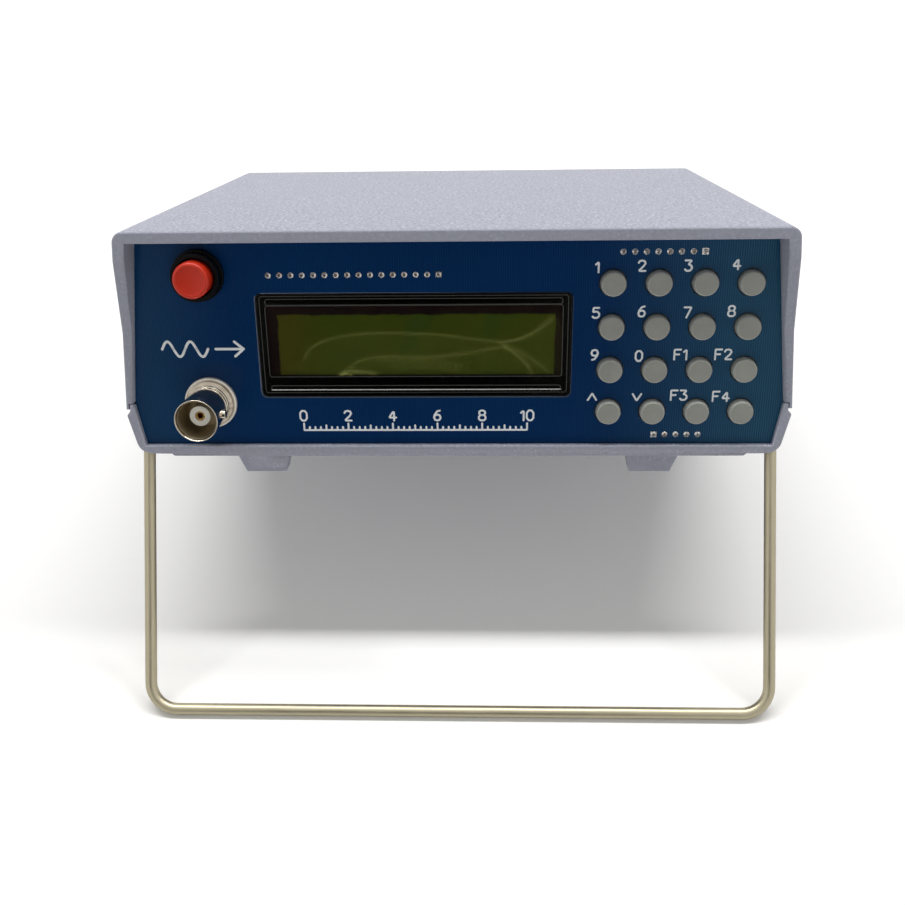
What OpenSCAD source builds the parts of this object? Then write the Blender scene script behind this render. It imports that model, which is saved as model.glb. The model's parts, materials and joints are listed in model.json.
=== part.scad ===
// Bench signal instrument in a two-part plastic case, standing on its wire tilt bail.
// The case frame has X to the right, Y to the back with 0 on the front panel's face, and Z up
// from the shell's underside. in_case() then tips the case back onto its bail and rear feet.

/* [Case] */
// Outer width of the cover along its top
case_top_w = 147.3; // [144:0.1:150]
// Outer width where the cover meets the shell
case_seam_w = 153.8; // [152:0.1:157]
// Outer width of the shell's underside, before its corners are rounded
case_base_w = 149.5; // [148.5:0.1:151]
// Height from the shell's underside to the top of the cover
case_h = 52.5; // [51:0.1:60]
// Depth from the front panel's face to the rear edge
case_back = 122.7; // [116:0.1:150]
// Height of the seam between cover and shell
seam_h = 12.4; // [11.5:0.1:14]
// How far the cover's skirt hangs below the seam
skirt_drop = 1.55; // [1:0.05:2]
// Thickness of the cover's skirt
skirt_t = 0.75; // [0.6:0.05:0.9]
// Height of the notch below the skirt
notch_h = 1.35; // [0.8:0.05:2]
// Thickness of the cover's top
top_wall = 2.6; // [2:0.1:3]
// Thickness of the cover's sides along the top
side_wall_top = 3.1; // [2:0.1:3.2]
// Thickness of the sides at the seam
side_wall_seam = 2; // [1.9:0.05:2.4]
// Thickness of the shell's floor
floor_wall = 2; // [1.6:0.1:2.6]
// Radius of the cover's long top edges
top_edge_r = 2.5; // [1:0.1:3.5]
// Radius of the shell's long bottom edges
base_edge_r = 3.2; // [2:0.1:3.6]
// Gap between cover and shell along the seam
seam_gap = 0.12; // [0.05:0.01:0.2]

/* [Hood] */
// Reach of the hood in front of the panel
hood_reach = 5.5; // [4:0.1:9]
// Reach of the lower lip in front of the panel
lip_reach = 1.5; // [1:0.1:3]
// Height of the hood's upright front edge
hood_edge_h = 6.5; // [4:0.1:10]
// Height above the underside at which the hood's slant meets the lip
hood_end_z = 29.1; // [22:0.1:38]
// How far the hood's sides splay outwards on the inside, from the panel to their front edge
hood_splay = 0.6; // [0.2:0.1:1]

/* [Underside] */
// Height of the raised middle of the underside
raise_h = 1.45; // [1:0.05:2]
// Width of the raised middle
raise_w = 134.4; // [128:0.2:138]
// Run of the raised middle's sloped sides
raise_run = 1.5; // [0.5:0.1:2.5]
// Distance from the panel face, and from the rear edge, to the raised middle
raise_inset = 0.5; // [0.2:0.1:6]
// Height of the feet below the raised middle
foot_h = 4.55; // [4:0.05:7]
// Width of a foot's sole
foot_w = 9.6; // [7:0.1:14]
// Length of a foot from front to back
foot_d = 5; // [4:0.1:9]
// Distance from the middle of the case to the middle of a foot
foot_x = 45.8; // [38:0.1:50]
// Run of a foot's sloped outer side
foot_outer_run = 2; // [0.5:0.1:3]
// Run of a foot's inner side
foot_inner_run = 0.9; // [0.2:0.1:2]
// Distance from the panel face to the front feet
foot_front = 2; // [1:0.1:10]
// Distance from the rear feet to the rear edge
foot_rear = 8; // [3:0.1:20]

/* [Tilt bail] */
// Diameter of the bail's wire
wire_d = 2.8; // [2.4:0.1:3]
// Distance from the middle of the case to a leg's centre line
bail_half = 74.3; // [74:0.1:74.8]
// Length of a leg from the pivot to the bar
leg_len = 67; // [55:0.5:80]
// Forward lean of the unfolded legs from the panel's upright
bail_lean = 19.8; // [10:0.1:25]
// Distance of the pivot behind the panel face
pivot_y = 5.1; // [5:0.1:8]
// Height of the pivot above the underside
pivot_z = 2.85; // [2.6:0.05:3.5]
// Bend radius between a leg and the bar, on the wire's centre line
bar_bend_r = 6.5; // [4:0.1:10]
// Bend radius between a leg and its pivot pin, on the wire's centre line
pin_bend_r = 2; // [1.8:0.1:2.2]
// Gap between the bail and the case
bail_gap = 0.35; // [0.3:0.05:0.5]
// Least distance from the shell's lower edge to the wall that holds the pivot pins
pocket_in = 2.9; // [2.8:0.1:5]
// Radial gap of the pivot pin in its hole
pivot_fit = 0.05; // [0.02:0.01:0.1]
// Wall of the channel that the legs fold into
channel_wall = 2; // [1.5:0.1:2.2]

/* [Panels] */
// Thickness of the front panel
panel_t = 1.6; // [1.2:0.1:1.8]
// Thickness of the rear panel
rear_panel_t = 1.6; // [1.2:0.1:3]
// Distance from the rear edge to the rear panel's face
rear_inset = 2; // [1.5:0.1:5]
// Depth of the grooves that hold the panels
groove_depth = 0.7; // [0.5:0.05:0.8]
// Gap of a panel in its groove
panel_gap = 0.1; // [0.05:0.01:0.2]

/* [Display] */
// Width of the display's metal frame
lcd_w = 71.2; // [68:0.1:72]
// Height of the display's metal frame
lcd_h = 24.1; // [22.5:0.1:25]
// Middle of the display from the middle of the case
lcd_x = -9.25; // [-9.8:0.05:-8.8]
// Height of the display's middle above the underside
lcd_z = 25.55; // [25:0.05:26.5]
// Depth of the display frame's face behind the panel's face
lcd_recess = 0.6; // [0.2:0.1:1]
// Gap between the display frame and the panel's window
lcd_gap = 0.2; // [0.1:0.05:0.5]
// Corner radius of the display frame
lcd_corner_r = 1.2; // [0.8:0.1:1.6]
// Width of the opening in the display frame
view_w = 67; // [60:0.1:68]
// Height of the opening in the display frame
view_h = 16.4; // [14:0.1:17]
// Height of that opening's middle above the display's middle
view_up = 0.95; // [0:0.05:1.2]
// Thickness of the frame's sheet metal
frame_t = 0.5; // [0.3:0.05:0.8]
// Height of the pressed lines in the frame
press_h = 1.1; // [0.6:0.1:1.4]
// Depth of the pressed lines
press_depth = 0.2; // [0.1:0.05:0.25]
// Distance from the display's middle to the pressed lines
press_z = 9.9; // [9.8:0.05:10.2]
// Thickness of the glass
glass_t = 2.4; // [1.5:0.1:3]
// Gap round the glass and the backlight inside the frame
glass_gap = 0.2; // [0.1:0.05:0.5]
// Thickness of the display from its face to its board
lcd_depth = 7; // [6:0.1:8]
// Width of the display's board
lcd_board_w = 80; // [76:0.1:80]
// Height of the display's board
lcd_board_h = 36; // [35:0.1:37]
// Distance from the board's top edge to its row of pins
lcd_pin_inset = 2.5; // [2:0.1:3.5]
// Middle of the display's row of pins from the middle of the case
lcd_pin_x = -22.44; // [-24:0.02:-12]
// Height of the display's row of pins above the underside
lcd_pin_z = 41.85; // [40.5:0.05:43]
// Thickness of every circuit board behind the panel
board_t = 1.6; // [1:0.1:2]

/* [Pin headers] */
// Spacing of the pins
pin_pitch = 2.54; // [2:0.01:2.6]
// Width of a square pin
pin_w = 0.64; // [0.4:0.02:0.7]
// Radius of a pin's hole in a board
pin_hole_r = 0.5; // [0.5:0.02:0.6]
// Radius of a solder joint
solder_r = 0.85; // [0.7:0.05:1.1]
// Height of a solder joint
solder_h = 0.5; // [0.3:0.05:0.8]
// Height of a header's plastic strip
strip_h = 2.4; // [2:0.1:2.6]
// Depth of a header's plastic strip
strip_d = 2.5; // [2:0.1:3]
// Middle of the keypad's header from the middle of the case
keypad_pin_x = 46; // [44:0.1:56]
// Height of the keypad's header above the underside
keypad_pin_z = 46.55; // [45.5:0.05:47]
// Middle of the data header from the middle of the case
data_pin_x = 51.05; // [44:0.05:51.4]
// Height of the data header above the underside
data_pin_z = 4.2; // [4:0.05:5]

/* [Keys] */
// Spacing of the keys from left to right
key_pitch_x = 10.08; // [9:0.02:10.2]
// Spacing of the keys from top to bottom
key_pitch_z = 9.92; // [9:0.02:10]
// Middle of the keypad from the middle of the case
keys_x = 50.28; // [49.2:0.02:50.5]
// Height of the keypad's middle above the underside
keys_z = 24.8; // [24.5:0.05:26]
// Diameter of a key
key_d = 5.7; // [5:0.1:6.4]
// Gap round a key in the panel
key_gap = 0.3; // [0.2:0.05:0.5]
// Height of a key in front of the panel
key_proud = 2; // [1.8:0.05:4]
// Travel of a key
key_travel = 0.5; // [0.25:0.05:0.6]
// Width of a key's flange behind the panel, on each side
key_flange = 0.6; // [0.4:0.1:0.8]
// Thickness of a key's flange
key_flange_t = 0.8; // [0.5:0.1:1]
// Diameter of a key's stem
key_stem_d = 2.4; // [1.8:0.1:3]
// Width of the rounding round a key's face
key_crown_w = 0.55; // [0.2:0.05:0.8]
// Depth of the rounding round a key's face
key_crown_h = 1.3; // [0.6:0.1:1.4]
// Width of a key's switch
switch_w = 6; // [5:0.1:6.5]
// Depth of a key's switch
switch_d = 3.5; // [3.2:0.1:4]
// Free gap between pieces that move past each other
run_gap = 0.35; // [0.3:0.05:0.5]

/* [Power switch] */
// Place of the power switch from the middle of the case
power_x = -57; // [-59:0.1:-56.6]
// Height of the power switch above the underside
power_z = 42.1; // [41:0.1:42.3]
// Diameter of the switch's flange
power_flange_d = 11.6; // [11.4:0.1:12.8]
// Thickness of the switch's flange
power_flange_t = 1.5; // [1:0.1:2]
// Diameter of the collar round the button
power_collar_d = 10.75; // [10.2:0.05:11.2]
// Height of the collar in front of the panel
power_collar_h = 4; // [3:0.1:4.4]
// Diameter of the threaded barrel
power_barrel_d = 10.2; // [9.8:0.1:10.6]
// Diameter of the button
power_button_d = 8.1; // [7.6:0.1:8.4]
// Height of the button in front of the panel
power_button_h = 7.2; // [6.9:0.1:8]
// Travel of the button
power_travel = 2.5; // [1.5:0.1:2.6]
// Length of the barrel behind the panel
power_barrel_l = 8; // [7:0.1:10]
// Width of the switch's body
power_body_w = 12.4; // [11:0.1:12.8]
// Length of the switch's body
power_body_l = 11; // [9:0.1:14]

/* [Output socket] */
// Place of the socket from the middle of the case
bnc_x = -57; // [-59:0.1:-56.6]
// Height of the socket above the underside
bnc_z = 12.3; // [11.8:0.1:14]
// Outer diameter of the socket
bnc_d = 9.7; // [9.5:0.05:9.9]
// Inner diameter of the socket
bnc_bore_d = 8.3; // [8:0.05:8.5]
// Length of the socket in front of the panel
bnc_l = 13.7; // [12:0.1:15]
// Depth of the socket
bnc_depth = 9.4; // [8:0.1:9.6]
// Diameter of the flange against the panel
bnc_flange_d = 12.2; // [11.6:0.1:13]
// Thickness of the flange
bnc_flange_t = 1; // [0.6:0.1:1.4]
// Diameter of a bayonet lug
bnc_lug_d = 2; // [1.8:0.1:2.2]
// Distance across both bayonet lugs
bnc_lug_span = 11.1; // [10.8:0.1:11.4]
// Distance from the socket's mouth to the lugs' middle
bnc_lug_back = 5; // [4.8:0.1:6]
// Diameter of the thread behind the panel
bnc_thread_d = 9.2; // [8.8:0.1:9.3]
// Length of the thread behind the panel
bnc_thread_l = 9; // [7:0.1:11]
// Diameter of the white insulator
bnc_insulator_d = 4.7; // [4.4:0.1:5]
// Distance from the socket's mouth to the insulator's face
bnc_insulator_back = 3.5; // [3:0.1:5]
// Diameter of the centre contact
bnc_contact_d = 2.2; // [1.9:0.1:2.4]
// Diameter of the hole in the centre contact
bnc_pin_d = 1.36; // [1.3:0.02:1.4]

/* [Power inlet] */
// Place of the inlet from the middle of the case
inlet_x = -40; // [-55:0.5:40]
// Height of the inlet above the underside
inlet_z = 26; // [22:0.1:36]
// Diameter of the inlet's flange
inlet_flange_d = 13.5; // [12.5:0.1:15]
// Diameter of the inlet's barrel
inlet_barrel_d = 10.8; // [10:0.1:11.4]
// Diameter of the inlet's socket
inlet_bore_d = 6.2; // [6:0.1:6.5]
// Depth of the inlet's socket
inlet_depth = 9.5; // [8.5:0.1:10.5]
// Diameter of the inlet's centre pin
inlet_pin_d = 2.1; // [1.9:0.1:2.5]

/* [Inside] */
// Width of the main board
main_w = 112; // [108:0.5:114]
// Depth of the main board
main_d = 66; // [60:0.5:68]
// Distance of the main board behind the panel
main_y = 34; // [32:0.5:36]
// Height of the posts under the main board
main_post_h = 5; // [4:0.1:7]
// Diameter of the posts under the main board
main_post_d = 6; // [5:0.1:7]
// Distance from the board's edges to its screws
main_screw_inset = 4; // [3.6:0.1:5]
// Width of the shield can
can_w = 50; // [40:0.5:54]
// Depth of the shield can
can_d = 34; // [30:0.5:36]
// Height of the shield can
can_h = 8; // [6:0.1:10]
// Place of the case screws from the middle of the case
case_screw_x = 62; // [60:0.1:63]
// Distance of the front case screws behind the panel
case_screw_front = 44; // [38:0.5:50]
// Distance of the rear case screws from the rear edge
case_screw_rear = 17; // [14:0.5:22]
// Height at which the screw posts of shell and cover meet
post_split_z = 24; // [18:0.1:30]
// Diameter of the case screw posts
post_d = 7.6; // [7:0.1:8]
// Diameter of a case screw
case_screw_d = 3; // [2.5:0.1:3.2]
// Diameter of a board screw
board_screw_d = 2.2; // [2:0.1:2.6]
// Gap round a screw in its hole
screw_gap = 0.2; // [0.1:0.05:0.3]
// Radial gap of a screw's thread in its post
thread_gap = 0.05; // [0.02:0.01:0.1]
// Diameter of the output lead
rf_lead_d = 2.5; // [1.5:0.1:3]
// Diameter of the supply leads
supply_lead_d = 2.4; // [1.5:0.1:3]
// Thickness of the data ribbon
ribbon_t = 1.2; // [0.8:0.1:1.6]

/* [Hidden] */
$fn = 48;

// How far a cut runs past the face it opens
over = 1;
// Steps in a rounded corner of an outline
corner_steps = 8;

// Colours
shell_grey = [0.50, 0.51, 0.58];
panel_blue = [0.02, 0.10, 0.25];
key_grey = [0.55, 0.56, 0.53];
button_red = [0.78, 0.10, 0.06];
black = [0.04, 0.04, 0.045];
nickel = [0.74, 0.71, 0.64];
gold = [0.80, 0.62, 0.28];
tin = [0.80, 0.80, 0.78];
white = [0.92, 0.91, 0.88];
board_green = [0.05, 0.28, 0.14];
glass_green = [0.25, 0.33, 0.10];
lead_red = [0.62, 0.08, 0.06];

// Case outline
top_half = case_top_w / 2;
seam_half = case_seam_w / 2;
base_half = case_base_w / 2;
skirt_z = seam_h - skirt_drop;
shell_edge_z = skirt_z - notch_h;
roof_z = case_h - top_wall;
tongue_half = seam_half - skirt_t - seam_gap;
inner_seam_half = seam_half - side_wall_seam;
inner_top_half = top_half - side_wall_top;
floor_half = base_half + (seam_half - base_half) / shell_edge_z * floor_wall - side_wall_seam;
rear_panel_y = case_back - rear_inset - rear_panel_t;
notch_slope = 0.7;
foot_z = -raise_h - foot_h;
rear_foot_y = case_back - foot_rear - foot_d;

// Bail: how far it dips when folded, the walls of its pocket and the inner ends of its pins
wire_r = wire_d / 2;
sweep_r = wire_r + bail_gap;
fold_dip = asin((pivot_z + raise_h + sweep_r) / leg_len);
pocket_x = min(bail_half - pin_bend_r - bail_gap, base_half - pocket_in);
pin_tip_x = pocket_x - channel_wall - bail_gap;
bar_y = pivot_y - leg_len * sin(bail_lean);
bar_z = pivot_z - leg_len * cos(bail_lean);

// Tilt at which the bar and the heels of the rear feet stand on one floor
heel_y = rear_foot_y + foot_d;
stand_run = heel_y - bar_y;
stand_rise = foot_z - bar_z;
tilt = atan2(stand_rise, stand_run) + asin(wire_r / norm([stand_run, stand_rise]));
stand_z = heel_y * sin(tilt) - foot_z * cos(tilt);
front_reach = bar_y * cos(tilt) + bar_z * sin(tilt) - wire_r;
rear_reach = case_back * cos(tilt) + case_h * sin(tilt);
stand_y = -(front_reach + rear_reach) / 2;

// Stack behind the panel
lcd_board_y = lcd_recess + lcd_depth;
lcd_board_top = lcd_pin_z + lcd_pin_inset;
key_flange_y = panel_t + run_gap;
key_back_y = key_flange_y + key_flange_t;
switch_y = key_back_y + key_travel + run_gap;
keypad_y = switch_y + switch_d;
lcd_pins = 16;
keypad_pins = 8;
data_pins = 5;
key_columns = 4;
key_rows = 4;
key_crown_steps = 4;
keypad_margin = 0.4;
keypad_half_w = key_pitch_x * (key_columns - 1) / 2 + switch_w / 2 + keypad_margin;
keypad_low = keys_z - key_pitch_z * (key_rows - 1) / 2 - switch_w / 2 - keypad_margin;
keypad_pin_inset = 2;
keypad_high = keypad_pin_z + keypad_pin_inset;
pin_tail = 1.2;

// Power switch
power_bore_r = power_button_d / 2 + run_gap;
power_body_y = panel_t + power_barrel_l;
power_plunger_r = 1.9;
power_plunger_hold = 1.5;
power_plunger_tip = power_body_y + power_plunger_hold;
power_nut_t = 2.5;
power_nut_rim = 1;
power_button_back = 2;
power_button_edge = 0.5;
power_tag_y = power_body_y + power_body_l;
power_tag_l = 4;
power_tag_w = 2;
power_tag_t = 0.6;
power_tag_x = 3;

// Output socket
bnc_washer_t = 0.6;
bnc_washer_rim = 1.8;
bnc_nut_t = 2.4;
bnc_nut_rim = 1.6;
bnc_tail_l = 3;
bnc_back_y = panel_t + bnc_thread_l;
bnc_tail_y = bnc_back_y + bnc_tail_l;
bnc_socket_y = bnc_depth - bnc_l;
bnc_face_y = bnc_insulator_back - bnc_l;
bnc_contact_back = 0.3;
bnc_pin_l = 4.5;
bnc_relief = 0.2;
bnc_barrel_r = bnc_d / 2 - bnc_relief;
bnc_sleeve_y = bnc_lug_back - bnc_lug_d / 2 - bnc_l;
bnc_cone_t = 1.2;
bnc_cone_y = -bnc_flange_t - bnc_cone_t;
bnc_cone_r = (bnc_barrel_r + bnc_flange_d / 2) / 2;
bnc_groove_w = 0.8;
bnc_groove_depth = 0.3;
bnc_groove_pitch = 1.4;
bnc_wall_r = (bnc_bore_d + bnc_d) / 4;

// Power inlet
inlet_flange_t = 2;
inlet_edge = 0.4;
inlet_nut_t = 2.5;
inlet_nut_rim = 1.5;
inlet_end_wall = 3;
inlet_tag_l = 3;
inlet_pin_back = 1;
inlet_body_l = inlet_depth + inlet_end_wall;
inlet_y = rear_panel_y + rear_panel_t + inlet_flange_t;
inlet_back_y = inlet_y - inlet_body_l;

// Main board and screws
main_z = floor_wall + main_post_h;
main_top_z = main_z + board_t;
can_x = 0;
main_screw_x = main_w / 2 - main_screw_inset;
main_screw_y = [main_y + main_screw_inset, main_y + main_d - main_screw_inset];
can_rear_gap = 12;
can_y = main_y + main_d - can_d - can_rear_gap;
can_sheet = 0.4;
case_screw_y = [case_screw_front, case_back - case_screw_rear];
case_head_rim = 1.4;
case_head_r = case_screw_d / 2 + case_head_rim;
case_head_t = 2;
case_head_sunk = 4;
case_head_z = case_head_sunk - raise_h;
case_slot_w = 0.8;
case_slot_depth = 1.1;
case_thread_l = 12;
case_thread_depth = 0.3;
case_core_d = case_screw_d - 2 * case_thread_depth;
board_head_t = 1.8;
board_head_rim = 1.2;
thread_end_gap = 0.5;
board_thread_l = main_post_h - thread_end_gap;
chip_w = 12;
chip_t = 1.6;
chip_gap = 4;
regulator_w = 10;
regulator_d = 5;
regulator_h = 9;
capacitor_d = 8;
capacitor_h = 11;
capacitor_pitch = 12;

// Leads
lead_straight = 4;
lead_clear = 5;
rf_side = 9;
power_drop_inset = [20, 6];
power_drop_x = power_drop_inset[0] - main_w / 2;
power_drop_y = main_y + power_drop_inset[1];
power_drop_h = 12;
inlet_drop_inset = 8;
inlet_drop_y = main_y + main_d - inlet_drop_inset;
inlet_drop_h = 4;
ribbon_half = data_pins * pin_pitch / 2;
ribbon_plug_d = 2;
ribbon_y = panel_t + strip_d + ribbon_plug_d;
ribbon_high = main_top_z + board_head_t + screw_gap + run_gap;
ribbon_rise_run = 8;
ribbon_rise_y = main_y - lead_straight - ribbon_rise_run;
socket_back = 8;
socket_y = main_y + main_screw_inset + socket_back;
socket_d = 6;
socket_h = 5;

KEYS = [
    "key_1", "key_2", "key_3", "key_4",
    "key_5", "key_6", "key_7", "key_8",
    "key_9", "key_0", "key_f1", "key_f2",
    "key_up", "key_down", "key_f3", "key_f4"
];

// Outline helpers

// Points of a rounded corner at p, between its neighbours a and b
function fillet(p, a, b, r) =
    let (
        u = (a - p) / norm(a - p),
        v = (b - p) / norm(b - p),
        half = acos(u * v) / 2,
        centre = p + (u + v) / norm(u + v) * r / sin(half),
        start = p + u * r / tan(half) - centre,
        from = atan2(start[1], start[0]),
        turn = sign(v[0] * u[1] - v[1] * u[0]) * (180 - 2 * half)
    )
    [for (i = [0 : corner_steps])
        centre + r * [cos(from + turn * i / corner_steps), sin(from + turn * i / corner_steps)]];

// A right half outline together with its mirror image
function both_sides(points) =
    concat(points, [for (i = [len(points) - 1 : -1 : 0]) [-points[i][0], points[i][1]]]);

// Inside of the closed case, grown on every side
function inside_outline(grow) = both_sides([
    [floor_half + grow, floor_wall - grow],
    [inner_seam_half + grow, seam_h],
    [inner_top_half + grow, roof_z + grow]
]);

// Space that a leg sweeps in the YZ plane, at distance r from its centre line
function sweep_outline(r) =
    let (
        pivot = [pivot_y, pivot_z],
        far = 2 * leg_len,
        out = [-sin(bail_lean), -cos(bail_lean)] * far,
        back = [cos(fold_dip), -sin(fold_dip)] * far,
        ahead = [-cos(bail_lean), sin(bail_lean)] * r,
        above = [sin(fold_dip), cos(fold_dip)] * r
    )
    [pivot + ahead, pivot + ahead + out, pivot + out + back, pivot + above + back, pivot + above];

// Placing helpers

// Stands the case on its bail and rear feet
module in_case() {
    translate([0, stand_y, stand_z])
        rotate([-tilt, 0, 0])
            children();
}

// Extrudes an XZ outline from front to back
module along_y(front, back) {
    translate([0, back, 0])
        rotate([90, 0, 0])
            linear_extrude(back - front)
                children();
}

// Extrudes a YZ outline from left to right
module along_x(left, right) {
    translate([left, 0, 0])
        rotate([90, 0, 90])
            linear_extrude(right - left)
                children();
}

// Box between two corners
module block(low, high) {
    translate(low)
        cube(high - low);
}

// Round bar along Y
module rod_y(x, z, r, front, back) {
    translate([x, front, z])
        rotate([-90, 0, 0])
            cylinder(h = back - front, r = r);
}

// Body turned about a line along Y, from points of radius and Y
module turned_y(x, z, points) {
    translate([x, 0, z])
        rotate([-90, 0, 0])
            rotate_extrude()
                polygon(points);
}

// Hexagon bar along Y, sized across its flats
module hex_y(x, z, flats, front, back) {
    translate([x, front, z])
        rotate([-90, 0, 0])
            cylinder(h = back - front, r = flats / 2 / cos(30), $fn = 6);
}

// Rectangle with round corners, about the origin
module round_rect(w, h, r) {
    square([w - 2 * r, h], center = true);
    square([w, h - 2 * r], center = true);
    for (sx = [-1, 1], sz = [-1, 1])
        translate([sx * (w / 2 - r), sz * (h / 2 - r)])
            circle(r);
}

// Repeats its children on the left and on the right
module left_and_right() {
    children();
    mirror([1, 0, 0])
        children();
}

// Places of a header's pins
function header_x(middle, count, i) = middle + (i - (count - 1) / 2) * pin_pitch;

// Holes of a header, from front to back
module header_holes(middle, z, count, front, back) {
    for (i = [0 : count - 1])
        rod_y(header_x(middle, count, i), z, pin_hole_r, front - over, back + over);
}

// Pins with their solder joints on the panel's face
module header_pins(middle, z, count, back) {
    for (i = [0 : count - 1]) {
        x = header_x(middle, count, i);
        block([x - pin_w / 2, -solder_h, z - pin_w / 2], [x + pin_w / 2, back, z + pin_w / 2]);
        translate([x, 0, z])
            rotate([90, 0, 0])
                cylinder(h = solder_h, r1 = solder_r, r2 = solder_r / 2);
    }
}

// Plastic strip of a header, behind the panel
module header_strip(middle, z, count) {
    half = count * pin_pitch / 2;
    difference() {
        block([middle - half, panel_t, z - strip_h / 2], [middle + half, panel_t + strip_d, z + strip_h / 2]);
        header_holes(middle, z, count, panel_t, panel_t + strip_d);
    }
}

// Round lead swept through a list of points, with side any direction that no run is parallel to
module lead(points, d, side) {
    last = len(points) - 1;
    sides = 8;
    rings = [for (i = [0 : last])
        let (
            run = points[min(i + 1, last)] - points[max(i - 1, 0)],
            along = run / norm(run),
            u = cross(side, along) / norm(cross(side, along)),
            v = cross(along, u)
        )
        for (k = [0 : sides - 1])
            points[i] + d / 2 * (u * cos(k * 360 / sides) + v * sin(k * 360 / sides))];
    walls = [for (i = [0 : last - 1], k = [0 : sides - 1])
        let (
            a = i * sides + k,
            b = i * sides + (k + 1) % sides
        )
        each [[a, a + sides, b], [b, a + sides, b + sides]]];
    front = [for (k = [1 : sides - 2]) [0, k, k + 1]];
    back = [for (k = [1 : sides - 2]) [last * sides, last * sides + k + 1, last * sides + k]];
    polyhedron(rings, concat(walls, front, back));
}

// Case

module panel_grooves() {
    for (span = [[0, panel_t], [rear_panel_y, rear_panel_y + rear_panel_t]])
        along_y(span[0] - panel_gap, span[1] + panel_gap)
            polygon(inside_outline(groove_depth));
}

module cover_section() {
    difference() {
        polygon(both_sides(concat(
            [[seam_half, skirt_z]],
            fillet([top_half, case_h], [seam_half, skirt_z], [0, case_h], top_edge_r)
        )));
        polygon(both_sides([
            [seam_half - skirt_t, skirt_z - over],
            [seam_half - skirt_t, seam_h],
            [inner_seam_half, seam_h],
            [inner_top_half, roof_z]
        ]));
    }
}

// Front of the sides, cut back below the hood
module hood_cut() {
    hood_z = case_h - hood_edge_h;
    along_x(-case_seam_w, case_seam_w)
        polygon([
            [-hood_reach - over, hood_z],
            [-hood_reach, hood_z],
            [-lip_reach, hood_end_z],
            [-lip_reach, -over],
            [-hood_reach - over, -over]
        ]);
}

// Splay of the hood's sides on the inside
module hood_flare() {
    rise = roof_z - seam_h;
    slant = atan2(inner_seam_half - inner_top_half, rise);
    reach = hood_reach + over;
    for (side = [-1, 1])
        translate([side * inner_seam_half, 0, seam_h])
            rotate([0, -side * slant, 0])
                linear_extrude(height = rise / cos(slant))
                    polygon([
                        [0, 0],
                        [side * hood_splay * reach / hood_reach, -reach],
                        [-side * over, -reach],
                        [-side * over, 0]
                    ]);
}

module cover_posts() {
    for (x = [-case_screw_x, case_screw_x], y = case_screw_y)
        translate([x, y, post_split_z + seam_gap])
            cylinder(h = roof_z - post_split_z, d = post_d);
}

module top_cover() {
    color(shell_grey)
        in_case()
            difference() {
                union() {
                    along_y(-hood_reach, case_back)
                        cover_section();
                    cover_posts();
                }
                hood_cut();
                hood_flare();
                panel_grooves();
                for (x = [-case_screw_x, case_screw_x], y = case_screw_y)
                    translate([x, y, post_split_z - over])
                        cylinder(h = case_thread_l + 2 * over, d = case_core_d + 2 * thread_gap);
            }
}

shell_corner = fillet([base_half, 0], [0, 0], [seam_half, shell_edge_z], base_edge_r);

module shell_section() {
    polygon(both_sides(concat(shell_corner, [
        [seam_half, shell_edge_z],
        [tongue_half, shell_edge_z + notch_h * notch_slope],
        [tongue_half, seam_h - seam_gap],
        [inner_seam_half, seam_h - seam_gap],
        [floor_half, floor_wall]
    ])));
}

// Walls round the bail's pockets, inside the shell's own outline
module bail_housing() {
    intersection() {
        along_y(-lip_reach, case_back)
            polygon(both_sides(concat(shell_corner, [[seam_half, shell_edge_z]])));
        left_and_right()
            along_x(pocket_x - channel_wall, case_seam_w) {
                polygon(sweep_outline(sweep_r + channel_wall));
                translate([pivot_y, pivot_z])
                    circle(sweep_r + channel_wall);
            }
    }
}

module bail_pockets() {
    left_and_right() {
        along_x(pocket_x, case_seam_w) {
            polygon(sweep_outline(sweep_r));
            translate([pivot_y, pivot_z])
                circle(sweep_r);
        }
        translate([pin_tip_x - over, pivot_y, pivot_z])
            rotate([0, 90, 0])
                cylinder(h = pocket_x - pin_tip_x + 2 * over, r = wire_r + pivot_fit);
    }
}

module underside() {
    along_y(raise_inset, case_back - raise_inset)
        polygon(both_sides([
            [raise_w / 2, -raise_h],
            [raise_w / 2 + raise_run, 0],
            [raise_w / 2 + raise_run, floor_wall / 2]
        ]));
    for (y = [foot_front, rear_foot_y])
        left_and_right()
            along_y(y, y + foot_d)
                polygon([
                    [foot_x - foot_w / 2, foot_z],
                    [foot_x + foot_w / 2, foot_z],
                    [foot_x + foot_w / 2 + foot_outer_run, -raise_h],
                    [foot_x + foot_w / 2 + foot_outer_run, 0],
                    [foot_x - foot_w / 2 - foot_inner_run, 0],
                    [foot_x - foot_w / 2 - foot_inner_run, -raise_h]
                ]);
}

module shell_posts() {
    for (x = [-case_screw_x, case_screw_x], y = case_screw_y)
        translate([x, y, floor_wall / 2])
            cylinder(h = post_split_z - floor_wall / 2, d = post_d);
    for (x = [-main_screw_x, main_screw_x], y = main_screw_y)
        translate([x, y, floor_wall / 2])
            cylinder(h = main_z - floor_wall / 2, d = main_post_d);
}

module shell_screw_holes() {
    for (x = [-case_screw_x, case_screw_x], y = case_screw_y)
        translate([x, y, 0]) {
            translate([0, 0, -raise_h - over])
                cylinder(h = post_split_z + raise_h + 2 * over, d = case_screw_d + 2 * screw_gap);
            translate([0, 0, -raise_h - over])
                cylinder(h = case_head_z + raise_h + over, r = case_head_r + screw_gap);
        }
    for (x = [-main_screw_x, main_screw_x], y = main_screw_y)
        translate([x, y, main_z - board_thread_l])
            cylinder(h = board_thread_l + over, d = board_screw_d + 2 * thread_gap);
}

module bottom_shell() {
    color(shell_grey)
        in_case()
            difference() {
                union() {
                    along_y(-lip_reach, case_back)
                        shell_section();
                    bail_housing();
                    underside();
                    shell_posts();
                }
                bail_pockets();
                panel_grooves();
                shell_screw_holes();
            }
}

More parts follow.
